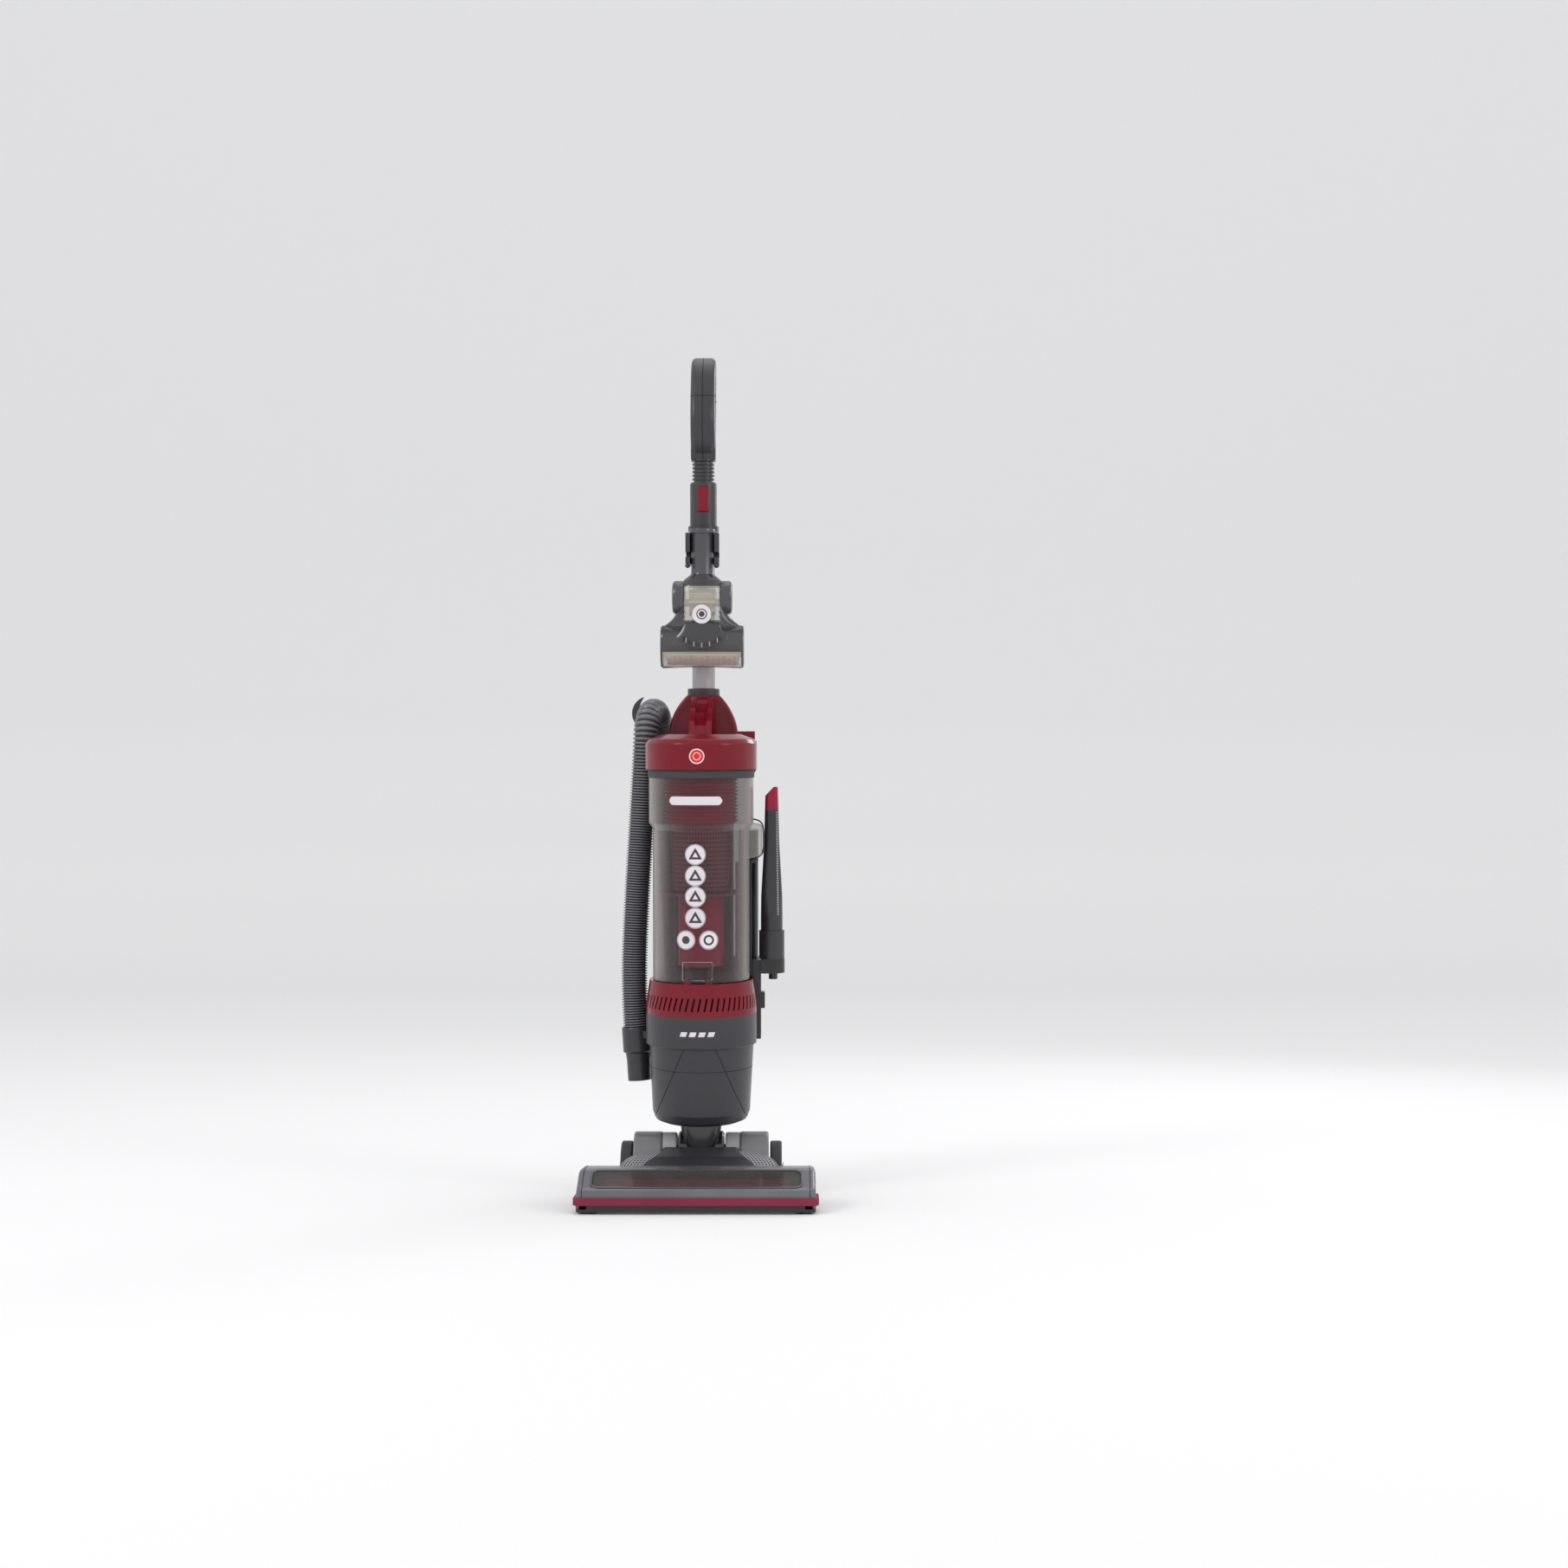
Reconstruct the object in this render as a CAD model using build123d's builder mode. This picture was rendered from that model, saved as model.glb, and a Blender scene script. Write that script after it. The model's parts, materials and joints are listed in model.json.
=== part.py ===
"""Upright vacuum cleaner: floor head, reclining canister body, lift-off bin, wand, tools and hose.

Frame: +Z up, +Y to the back, origin on the floor under the middle of the object's box.
"""
import os
from math import cos, radians, sin, tan

from build123d import *

# ---- driving dimensions (millimetres and degrees) ----
FRONT_Y = -172.5          # front face of the floor head
PIVOT_BACK = 200.0        # recline pivot behind the front face
PIVOT_Z = 60.0            # recline pivot above the floor
LEAN = 5.0                # parked body leans forward by this angle
HEAD_HALF = 154.0         # half width of the floor head
HEAD_DEPTH = 98.0         # depth of the brush housing
SOLE_LOW, SOLE_TOP = 2.5, 6.5
ROOF_Z = 52.5
WALL = 3.0
ROLL_BACK, ROLL_Z = 44.0, 20.5
ROLL_R, TUFT_R, JOURNAL_R = 13.5, 19.2, 10.0
DRIVE_BACK, DRIVE_Z, DRIVE_R = 82.5, 28.0, 6.0
WHEEL_R, WHEEL_BACK, WHEEL_IN, WHEEL_OUT = 36.0, 212.0, 94.0, 110.0
BARREL_R, BARREL_HALF = 27.0, 31.5
BOWL_Z, BAND_Z, RING_Z, BIN_Z = 42.0, 149.0, 191.5, 237.5
BAND_R, BIN_R, BIN_TOP_R, LID_R = 75.5, 66.0, 71.5, 76.0
STEP_LOW, STEP_HIGH, GASKET_Z, LID_Z, LID_TOP = 441.0, 450.0, 511.6, 523.0, 572.0
SPINE_HALF, SPINE_FRONT, SPINE_BACK, SPINE_LOW = 42.0, 77.5, 114.5, 100.0
TOWER_Z, TOWER_HALF, TOWER_TALL = 562.0, 48.0, 63.0
WAND_Y, WAND_R, WAND_LOW, WAND_TOP = 96.0, 16.0, 520.0, 905.0
PET_Y = 53.0
TOOL_X, TOOL_Y, TOOL_Z = 96.0, 40.0, 260.0
HOSE_R = 18.0
FIT = 0.3                 # running clearance between pieces that move on each other

# ---- frames ----
HEAD = Plane(origin=(0, FRONT_Y, 0))
UPRIGHT = Plane(
    origin=(0, FRONT_Y + PIVOT_BACK, PIVOT_Z),
    x_dir=(1, 0, 0),
    z_dir=(0, -sin(radians(LEAN)), cos(radians(LEAN))),
)
AXIS = Axis(UPRIGHT.origin, UPRIGHT.z_dir)


def head_side(x):
    """Upright plane of the floor head at x, drawn in (back, up)."""
    return Plane(origin=(x, FRONT_Y, 0), x_dir=(0, 1, 0), z_dir=(1, 0, 0))


def deck(back):
    """Height of the sloping deck behind the brush housing."""
    return 48 + (back - HEAD_DEPTH) / 12


def place(x, y, z):
    """Global point of a place given in the body's own leaning frame."""
    return UPRIGHT.from_local_coords((x, y, z))


def side(x):
    """Plane of the body at x, drawn in (back, up)."""
    return Plane(origin=place(x, 0, 0), x_dir=UPRIGHT.y_dir, z_dir=(1, 0, 0))


def front(y):
    """Plane of the body at depth y, drawn in (right, up) and facing forward."""
    return Plane(origin=place(0, y, 0), x_dir=(1, 0, 0), z_dir=-UPRIGHT.y_dir)


def across(x, y, z):
    """Location in a body block whose own Z lies along X."""
    return Location((x, y, z), (0, 90, 0))


def ring(outer, inner, low, high):
    """Corners of the half profile of a plain ring about the body's axis."""
    return (inner, low), (outer, low), (outer, high), (inner, high)


# ---- floor head: sole, glides, housings ----
with BuildPart(HEAD) as sole_plate:
    with BuildSketch(HEAD.offset(SOLE_LOW)):
        with BuildLine():
            Polyline(
                (-HEAD_HALF, 3), (HEAD_HALF, 3), (HEAD_HALF, HEAD_DEPTH), (110, HEAD_DEPTH),
                (92, 170), (92, 230), (-92, 230), (-92, 170), (-110, HEAD_DEPTH),
                (-HEAD_HALF, HEAD_DEPTH), close=True,
            )
        make_face()
    extrude(amount=SOLE_TOP - SOLE_LOW)
    fillet(sole_plate.edges().filter_by(Axis.Z).group_by(Axis.Y)[0], 7)
    with BuildSketch(HEAD.offset(SOLE_LOW)):
        with Locations((0, 40)):
            RectangleRounded(256, 54, 3)
    extrude(amount=SOLE_TOP - SOLE_LOW, mode=Mode.SUBTRACT)
    with BuildSketch(HEAD.offset(SOLE_TOP)):
        with Locations((0, 5.5)):
            Rectangle(280, 5)
    extrude(amount=4.5)
sole_plate.part.label = "sole_plate"

with BuildPart(HEAD) as sole_glides:
    with Locations((-141, 44, 0), (141, 44, 0)):
        Box(14, 60, SOLE_LOW, align=(Align.CENTER, Align.CENTER, Align.MIN))
    fillet(sole_glides.edges().filter_by(Axis.Z), 5)
sole_glides.part.label = "sole_glides"

COVER_OUTLINE = [(8, SOLE_TOP), (8, 11), (3, 11), (3, 24), (8, 30), (12, 33), (47, 51),
                 (58, ROOF_Z), (HEAD_DEPTH, 51), (HEAD_DEPTH, SOLE_TOP)]
CHAMBER_OUTLINE = [(8, SOLE_TOP), (8, 22), (12, 28), (47, 47), (58, 49.5), (67, 49.5), (67, SOLE_TOP)]
DRIVE_OUTLINE = [(70, SOLE_TOP), (70, 49), (95, 48), (95, SOLE_TOP)]
with BuildPart() as nozzle_cover:
    with BuildSketch(head_side(-HEAD_HALF)):
        with BuildLine():
            Polyline(*COVER_OUTLINE, close=True)
        make_face()
    extrude(amount=2 * HEAD_HALF)
    ends = nozzle_cover.faces().filter_by(Axis.X)
    end_edges = ends.edges().filter_by(lambda edge: edge.center().Z > 11.5)
    fillet(end_edges, 6)
    with BuildSketch(head_side(-HEAD_HALF + 4)):
        for outline in (CHAMBER_OUTLINE, DRIVE_OUTLINE):
            with BuildLine():
                Polyline(*outline, close=True)
            make_face()
    extrude(amount=2 * HEAD_HALF - 8, mode=Mode.SUBTRACT)
    with BuildSketch(head_side(-135)):
        with BuildLine():
            Polyline((12, 36), (12, 26), (47, 44), (47, 54), close=True)
        make_face()
    extrude(amount=270, mode=Mode.SUBTRACT)
    with BuildSketch(Plane.XZ.offset(-(FRONT_Y + 66))):
        with Locations((0, 24)):
            Rectangle(56, 28)
        with Locations((-128.5, 26)):
            Rectangle(13, 34)
    extrude(amount=-5, mode=Mode.SUBTRACT)
nozzle_cover.part.label = "nozzle_cover"

with BuildPart() as nozzle_window:
    with BuildSketch(head_side(-134.7)):
        with BuildLine():
            Polyline((12.2, 33), (12.2, 30), (46.8, 47.8), (46.8, 50.8), close=True)
        make_face()
    extrude(amount=2 * 134.7)
nozzle_window.part.label = "nozzle_window"

with BuildPart(HEAD) as bumper_strip:
    with BuildSketch(HEAD.offset(11)):
        with Locations((0, 45)):
            RectangleRounded(2 * HEAD_HALF + 8, 90, 10)
        with Locations((0, 3 + 50)):
            RectangleRounded(2 * HEAD_HALF, 100, 6, mode=Mode.SUBTRACT)
        with Locations((0, 70)):
            Rectangle(2 * HEAD_HALF + 10, 40, mode=Mode.SUBTRACT)
    extrude(amount=10)
    fillet(bumper_strip.faces().sort_by(Axis.Y)[0].edges().filter_by(Axis.X), 1.2)
bumper_strip.part.label = "bumper_strip"

with BuildPart(HEAD) as base_housing:
    with BuildSketch(head_side(-110)):
        with BuildLine():
            Polyline((98, SOLE_TOP), (98, deck(98)), (170, deck(170)), (170, SOLE_TOP), close=True)
        make_face()
    extrude(amount=220)
    with BuildSketch(head_side(-107)):
        with BuildLine():
            Polyline((101, SOLE_TOP), (101, 45), (167, 50.5), (167, SOLE_TOP), close=True)
        make_face()
    extrude(amount=214, mode=Mode.SUBTRACT)
    with BuildSketch(HEAD.offset(SOLE_TOP)):
        for hand in (-1, 1):
            with BuildLine():
                Polyline((hand * 110, 97), (hand * 92, 171), (hand * 115, 171), (hand * 115, 97), close=True)
            make_face()
    extrude(amount=60, mode=Mode.SUBTRACT)
    with BuildSketch(HEAD.offset(SOLE_TOP)):
        for hand in (-1, 1):
            with BuildLine():
                Polyline(
                    (hand * 109.9, 98), (hand * 92, 170), (hand * 89, 170), (hand * 106.5, 98),
                    close=True,
                )
            make_face()
    extrude(amount=39)
base_housing.part.label = "base_housing"

DECK = Plane(origin=(0, FRONT_Y + HEAD_DEPTH, deck(HEAD_DEPTH)), x_dir=(1, 0, 0), z_dir=(0, -1, 12))
with BuildPart() as bonnet:
    with BuildSketch(head_side(-80)):
        with BuildLine():
            Polyline((99, deck(99)), (99, 51), (125, 60), (168, 68), (168, deck(168)), close=True)
        make_face()
    extrude(amount=160)
    with BuildSketch(HEAD.offset(30)):
        for hand in (-1, 1):
            with BuildLine():
                Polyline(
                    (hand * 74, 98), (hand * 51.8, 159), (hand * 51.8, 169), (hand * 90, 169),
                    (hand * 90, 98), close=True,
                )
            make_face()
    extrude(amount=60, mode=Mode.SUBTRACT)
    fillet(bonnet.faces().sort_by(Axis.Z)[-1].edges().filter_by(Axis.X, reverse=True), 5)
bonnet.part.label = "bonnet"

PANEL_LONG = 60.0
with BuildPart() as vent_panels:
    for hand in (-1, 1):
        with BuildSketch(DECK):
            with BuildLine():
                Polyline(
                    (hand * 76, 3), (hand * 107, 3), (hand * 92.5, PANEL_LONG),
                    (hand * 58, PANEL_LONG), close=True,
                )
            make_face()
            for row in range(10):
                back = 6.5 + 5.2 * row
                inner = 78.5 - (back - 3) * 18 / (PANEL_LONG - 3)
                outer = 104.0 - (back - 3) * 14.5 / (PANEL_LONG - 3)
                count = int((outer - inner) / 5.2) + 1
                with Locations(*[(hand * (inner + 5.2 * step), back) for step in range(count)]):
                    Circle(1.6, mode=Mode.SUBTRACT)
        extrude(amount=2)
vent_panels.part.label = "vent_panels"

with BuildPart(HEAD) as side_covers:
    with BuildSketch(head_side(52.3)):
        with Locations((PIVOT_BACK, PIVOT_Z)):
            Circle(26)
        with Locations((198, (SOLE_TOP + PIVOT_Z) / 2)):
            Rectangle(56, PIVOT_Z - SOLE_TOP)
        with Locations((168, 48)):
            Circle(8)
        make_hull()
    extrude(amount=39.7)
    rims = side_covers.faces().filter_by(Axis.X).edges()
    fillet(rims.filter_by(lambda edge: edge.center().Z > SOLE_TOP + 1), 3.5)
    with BuildSketch(head_side(52)):
        with BuildLine():
            Polyline((150, 0), (170, 0), (170, deck(170)), (150, deck(150)), close=True)
        make_face()
    extrude(amount=45, mode=Mode.SUBTRACT)
    with BuildSketch(head_side(55.3)):
        with Locations((PIVOT_BACK, PIVOT_Z)):
            Circle(23)
        with Locations((198, (SOLE_TOP + PIVOT_Z) / 2)):
            Rectangle(50, PIVOT_Z - SOLE_TOP)
        make_hull()
    extrude(amount=33.7, mode=Mode.SUBTRACT)
    with BuildSketch(head_side(80)):
        with Locations((WHEEL_BACK, WHEEL_R)):
            Circle(8)
    extrude(amount=9)
    with BuildSketch(head_side(80)):
        with Locations((WHEEL_BACK, WHEEL_R)):
            Circle(4)
    extrude(amount=12, mode=Mode.SUBTRACT)
    mirror(about=Plane.YZ)
    with BuildSketch(head_side(-90)):
        with Locations((233, 16)):
            Circle(6)
        with Locations((229.5, 16)):
            Rectangle(7, 12)
    extrude(amount=3)
    with BuildSketch(head_side(-57)):
        with Locations((233, 16)):
            Circle(6)
        with Locations((229.5, 16)):
            Rectangle(7, 12)
    extrude(amount=3)
    with BuildSketch(head_side(-90)):
        with Locations((233, 16)):
            Circle(2)
    extrude(amount=36)
side_covers.part.label = "side_covers"

with BuildPart(HEAD) as recline_pedal:
    with BuildSketch(head_side(-86.5)):
        with Locations((233, 16)):
            Circle(4.8)
        with BuildLine():
            Polyline((233, 20.8), (262, 24), (266, 21), (262, 19), (233, 12.5), close=True)
        make_face()
        with Locations((233, 16)):
            Circle(2 + FIT, mode=Mode.SUBTRACT)
    extrude(amount=29)
    with Locations((-72, 250, 23.6), (-72, 256, 24.2)):
        Box(22, 1.6, 2)
recline_pedal.part.label = "recline_pedal"

with BuildPart() as pedal_spring:
    with BuildSketch(head_side(-75)):
        with BuildLine():
            Polyline((226, 7), (242, 9.5), (242, 10.3), (226, 7.8), close=True)
        make_face()
    extrude(amount=6)
pedal_spring.part.label = "pedal_spring"

with BuildPart(HEAD) as hub_bushes:
    with BuildSketch(head_side(33)):
        with Locations((PIVOT_BACK, PIVOT_Z)):
            Circle(25)
        with Locations((PIVOT_BACK, (SOLE_TOP + PIVOT_Z) / 2)):
            Rectangle(30, PIVOT_Z - SOLE_TOP)
        with Locations((PIVOT_BACK, PIVOT_Z)):
            Circle(9 + FIT, mode=Mode.SUBTRACT)
    extrude(amount=19.3)
    outer_rims = hub_bushes.edges().filter_by(GeomType.CIRCLE).filter_by(lambda edge: edge.radius > 20)
    fillet(outer_rims.group_by(Axis.X)[0], 3)
    mirror(about=Plane.YZ)
hub_bushes.part.label = "hub_bushes"

# ---- wheels ----
with BuildPart() as right_wheel:
    with BuildSketch(Plane(origin=(0, FRONT_Y + WHEEL_BACK, WHEEL_R), x_dir=(1, 0, 0), z_dir=(0, -1, 0))):
        with BuildLine():
            Polyline(
                (WHEEL_IN, 4 + FIT), (WHEEL_IN, 10), (WHEEL_IN + 4, 12), (WHEEL_IN + 4, 28),
                (WHEEL_IN, 30), (WHEEL_IN, WHEEL_R), (WHEEL_OUT, WHEEL_R), (WHEEL_OUT, 30),
                (WHEEL_OUT - 4, 28), (WHEEL_OUT - 4, 12), (WHEEL_OUT, 10), (WHEEL_OUT, 4 + FIT),
                close=True,
            )
        make_face()
    revolve(axis=Axis((0, FRONT_Y + WHEEL_BACK, WHEEL_R), (1, 0, 0)))
    treads = right_wheel.edges().filter_by(GeomType.CIRCLE).filter_by(lambda edge: edge.radius > 35)
    fillet(treads, 3)
right_wheel.part.label = "right_wheel"

with BuildPart() as left_wheel:
    add(mirror(right_wheel.part, about=Plane.YZ))
left_wheel.part.label = "left_wheel"

with BuildPart(HEAD) as wheel_axles:
    for hand in (-1, 1):
        with Locations(across(hand * 97.5, WHEEL_BACK, WHEEL_R)):
            Cylinder(4, 27)
        with Locations(across(hand * 111.75, WHEEL_BACK, WHEEL_R)):
            Cylinder(7, 1.5)
wheel_axles.part.label = "wheel_axles"

# ---- brush roll and its drive ----
with BuildPart(HEAD) as brush_roll:
    with Locations(across(0, ROLL_BACK, ROLL_Z)):
        Cylinder(ROLL_R, 240)
        Cylinder(JOURNAL_R, 272)
        Cylinder(4, 294)
    for turn in (0, 90, 180, 270):
        with BuildSketch(head_side(-118)):
            with Locations(Location((ROLL_BACK, ROLL_Z), turn)):
                with Locations(((ROLL_R + TUFT_R) / 2 - 1, 0)):
                    Rectangle(TUFT_R - ROLL_R + 2, 3)
        extrude(amount=236)
brush_roll.part.label = "brush_roll"

with BuildPart(HEAD) as roll_bearings:
    for hand in (-1, 1):
        with Locations(across(hand * 145, ROLL_BACK, ROLL_Z)):
            Cylinder(9, 10)
            Cylinder(4 + FIT, 10, mode=Mode.SUBTRACT)
roll_bearings.part.label = "roll_bearings"

with BuildPart(HEAD) as brush_motor:
    with Locations(across(-88, DRIVE_BACK, DRIVE_Z)):
        Cylinder(12, 64)
    with Locations((-88, DRIVE_BACK, (SOLE_TOP + 17) / 2)):
        Box(50, 16, 17 - SOLE_TOP)
    with Locations(across(-117, DRIVE_BACK, DRIVE_Z)):
        Cylinder(2.8, 6, mode=Mode.SUBTRACT)
    fillet(brush_motor.edges().filter_by(GeomType.CIRCLE).sort_by(Axis.X)[-1], 2)
brush_motor.part.label = "brush_motor"

with BuildPart(HEAD) as motor_pulley:
    with Locations(across(-128.5, DRIVE_BACK, DRIVE_Z)):
        Cylinder(DRIVE_R, 9)
    with Locations(across(-120.5, DRIVE_BACK, DRIVE_Z)):
        Cylinder(2.5, 12)
motor_pulley.part.label = "motor_pulley"

BELT = 1.2
with BuildPart() as brush_belt:
    with BuildSketch(head_side(-131)):
        with Locations((ROLL_BACK, ROLL_Z)):
            Circle(JOURNAL_R + FIT + BELT)
        with Locations((DRIVE_BACK, DRIVE_Z)):
            Circle(DRIVE_R + FIT + BELT)
        make_hull()
        with BuildSketch(head_side(-131), mode=Mode.SUBTRACT):
            with Locations((ROLL_BACK, ROLL_Z)):
                Circle(JOURNAL_R + FIT)
            with Locations((DRIVE_BACK, DRIVE_Z)):
                Circle(DRIVE_R + FIT)
            make_hull()
    extrude(amount=5)
brush_belt.part.label = "brush_belt"

# ---- reclining body: neck, motor and exhaust ----
with BuildPart(UPRIGHT) as neck:
    with Locations(across(0, 0, 0)):
        Cylinder(BARREL_R, 2 * BARREL_HALF)
    chamfer(neck.edges().filter_by(GeomType.CIRCLE), 3)
    with Locations(across(0, 0, 0)):
        Cylinder(9, 100)
    for height, wide, deep in ((-10, 41, 56), (8, 45, 60), (25, 52, 60), (BOWL_Z, 57, 58)):
        with BuildSketch(UPRIGHT.offset(height)):
            RectangleRounded(wide, deep, 16)
    loft()
    with BuildSketch(UPRIGHT.offset(-BARREL_R - 5)):
        Circle(15)
    extrude(amount=BARREL_R + 5 + BOWL_Z, mode=Mode.SUBTRACT)
neck.part.label = "neck"

with BuildPart() as motor_bowl:
    with BuildSketch(front(0)):
        with BuildLine():
            Polyline((0, BOWL_Z), (52, BOWL_Z), (62, 46), (66.5, 57), (71.4, BAND_Z))
            Polyline((71.4, BAND_Z), (68.4, BAND_Z), (63.6, 58), (60, 49), (51, 45), (0, 45), (0, BOWL_Z))
        make_face()
    revolve(axis=AXIS)
    lows = motor_bowl.edges().filter_by(GeomType.CIRCLE)
    fillet(lows.filter_by(lambda edge: 61 < edge.radius < 66.6), 4)
motor_bowl.part.label = "motor_bowl"

with BuildPart(UPRIGHT) as main_motor:
    with Locations((0, 0, 45)):
        Cylinder(44, 70, align=(Align.CENTER, Align.CENTER, Align.MIN))
    fillet(main_motor.edges().group_by(AXIS)[-1], 8)
    with Locations((0, 0, 115)):
        Cylinder(4, 40, align=(Align.CENTER, Align.CENTER, Align.MIN))
main_motor.part.label = "main_motor"

with BuildPart(UPRIGHT) as motor_fan:
    with Locations((0, 0, 122)):
        Cylinder(50, 3, align=(Align.CENTER, Align.CENTER, Align.MIN))
        Cylinder(12, 24, align=(Align.CENTER, Align.CENTER, Align.MIN))
    with Locations((0, 0, 133)):
        with PolarLocations(30, 9):
            with Locations(Location((0, 0, 0), (0, 0, 25))):
                Box(36, 2, 19)
    with Locations((0, 0, 134)):
        Cylinder(4 + FIT, 40, mode=Mode.SUBTRACT)
motor_fan.part.label = "motor_fan"

DOCK_X, DOCK_Y = -91.2, 40.4
with BuildPart(UPRIGHT) as motor_band:
    with BuildSketch(front(0)):
        with BuildLine():
            Polyline(
                (68.4, BAND_Z), (74.5, BAND_Z), (BAND_R, BAND_Z + 1), (BAND_R, RING_Z),
                (BAND_R - WALL, RING_Z), (BAND_R - WALL, BAND_Z + WALL), (68.4, BAND_Z + WALL),
                close=True,
            )
        make_face()
    revolve(axis=AXIS)
    with BuildSketch(UPRIGHT.offset(151)):
        with Locations((-80, 39)):
            Rectangle(26, 34)
        Circle(BAND_R - 1, mode=Mode.SUBTRACT)
        with Locations((DOCK_X, DOCK_Y)):
            Circle(20.8, mode=Mode.SUBTRACT)
    extrude(amount=10)
motor_band.part.label = "motor_band"

SLOTS = 56
SLOT_SLANT = 12.0
with BuildPart(UPRIGHT) as exhaust_ring:
    with BuildSketch(front(0)):
        with BuildLine():
            Polyline(
                (66, RING_Z), (BAND_R, RING_Z), (BAND_R, 205), (72.5, 223), (70.5, 236.5),
                (62, 236.5), (62, 232), (67.5, 232), (69.5, 222), (72.3, 204), (72.3, RING_Z + 3),
                (66, RING_Z + 3), close=True,
            )
        make_face()
    revolve(axis=AXIS)
    with Locations((0, 0, 209)):
        with PolarLocations(BAND_R - 2, SLOTS):
            with Locations(Location((0, 0, 0), (-SLOT_SLANT, 0, 0))):
                Box(12, 2.6, 18, mode=Mode.SUBTRACT)
exhaust_ring.part.label = "exhaust_ring"

with BuildPart() as exhaust_filter:
    with BuildSketch(front(0)):
        Polygon(*ring(65.5, 52, RING_Z + 3, 231), align=None)
    revolve(axis=AXIS)
exhaust_filter.part.label = "exhaust_filter"

# ---- reclining body: spine, duct, tower, brackets ----
FLANK_TOP = 258.0
with BuildPart(UPRIGHT) as spine:
    with BuildSketch(UPRIGHT.offset(SPINE_LOW)):
        with Locations((0, (SPINE_FRONT + SPINE_BACK) / 2)):
            RectangleRounded(2 * SPINE_HALF, SPINE_BACK - SPINE_FRONT, 8)
    extrude(amount=TOWER_Z - SPINE_LOW)
    with BuildSketch(UPRIGHT.offset(SPINE_LOW + WALL)):
        with Locations((0, (SPINE_FRONT + SPINE_BACK) / 2)):
            RectangleRounded(2 * SPINE_HALF - 6, SPINE_BACK - SPINE_FRONT - 6, 5)
    extrude(amount=WAND_LOW - 3 - SPINE_LOW - WALL, mode=Mode.SUBTRACT)
    with BuildSketch(UPRIGHT.offset(BAND_Z)):
        with Locations((0, 78)):
            Rectangle(70, 16)
        with Locations((70.5, 54)):
            Rectangle(21, 46)
        with Locations((60, 80)):
            Rectangle(42, 20)
        Circle(BAND_R, mode=Mode.SUBTRACT)
    extrude(amount=RING_Z - BAND_Z)
    with BuildSketch(UPRIGHT.offset(RING_Z)):
        with Locations((70.5, 54)):
            Rectangle(21, 46)
        with Locations((60, 82)):
            Rectangle(42, 16)
        Circle(BAND_R + 0.6, mode=Mode.SUBTRACT)
    extrude(amount=FLANK_TOP - RING_Z)
    with Locations((0, WAND_Y, WAND_LOW)):
        Cylinder(WAND_R + FIT, 60, align=(Align.CENTER, Align.CENTER, Align.MIN), mode=Mode.SUBTRACT)
    with Locations((76.5, 52, 201)):
        Box(12, 16, 23, mode=Mode.SUBTRACT)
    with Locations(Location((20, SPINE_BACK, 125), (90, 0, 0))):
        Cylinder(8, 12)
    with Locations(Location((20, SPINE_BACK + 4, 125), (90, 0, 0))):
        Cylinder(3.6, 8, mode=Mode.SUBTRACT)
spine.part.label = "spine"

with BuildPart(UPRIGHT) as riser_duct:
    with BuildSketch(UPRIGHT.offset(FLANK_TOP)):
        with Locations((61, 66)):
            Circle(16)
            Circle(13.5, mode=Mode.SUBTRACT)
    extrude(amount=392 - FLANK_TOP)
    with BuildSketch(UPRIGHT.offset(392)):
        with Locations((63.5, 63)):
            RectangleRounded(27, 30, 4)
    extrude(amount=46)
    with BuildSketch(front(48)):
        with Locations((64, 416)):
            RectangleRounded(19, 38, 4)
    extrude(amount=-24, mode=Mode.SUBTRACT)
    with BuildSketch(front(48)):
        with Locations((64, 416)):
            RectangleRounded(25, 44, 5)
            RectangleRounded(19, 38, 4, mode=Mode.SUBTRACT)
    extrude(amount=1.6)
riser_duct.part.label = "riser_duct"

with BuildPart(UPRIGHT) as wand_tower:
    with BuildSketch(front(SPINE_FRONT)):
        with BuildLine():
            Line((-TOWER_HALF, TOWER_Z), (TOWER_HALF, TOWER_Z))
            Line((TOWER_HALF, TOWER_Z), (TOWER_HALF, TOWER_Z + 12))
            ThreePointArc(
                (TOWER_HALF, TOWER_Z + 12), (36, TOWER_Z + 46), (22, TOWER_Z + TOWER_TALL)
            )
            Line((22, TOWER_Z + TOWER_TALL), (-22, TOWER_Z + TOWER_TALL))
            ThreePointArc(
                (-22, TOWER_Z + TOWER_TALL), (-36, TOWER_Z + 46), (-TOWER_HALF, TOWER_Z + 12)
            )
            Line((-TOWER_HALF, TOWER_Z + 12), (-TOWER_HALF, TOWER_Z))
        make_face()
    extrude(amount=-(SPINE_BACK - SPINE_FRONT))
    front_rim = wand_tower.faces().sort_by(Axis(UPRIGHT.origin, UPRIGHT.y_dir))[0].edges()
    fillet(front_rim.filter_by(GeomType.CIRCLE), 3)
    with BuildSketch(front(SPINE_FRONT)):
        for hand in (-1, 1):
            with BuildLine():
                Polyline(
                    (hand * 17, TOWER_Z + 6), (hand * 41, TOWER_Z + 6), (hand * 41, TOWER_Z + 18),
                    (hand * 33, TOWER_Z + 38), (hand * 18, TOWER_Z + 56), (hand * 17, TOWER_Z + 56),
                    close=True,
                )
            make_face()
    extrude(amount=-1.8, mode=Mode.SUBTRACT)
    with Locations((0, WAND_Y, TOWER_Z)):
        Cylinder(
            WAND_R + FIT, TOWER_TALL, align=(Align.CENTER, Align.CENTER, Align.MIN), mode=Mode.SUBTRACT
        )
    with Locations((59, 104, TOWER_Z + 6)):
        Box(26, 12, 12)
wand_tower.part.label = "wand_tower"

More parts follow.
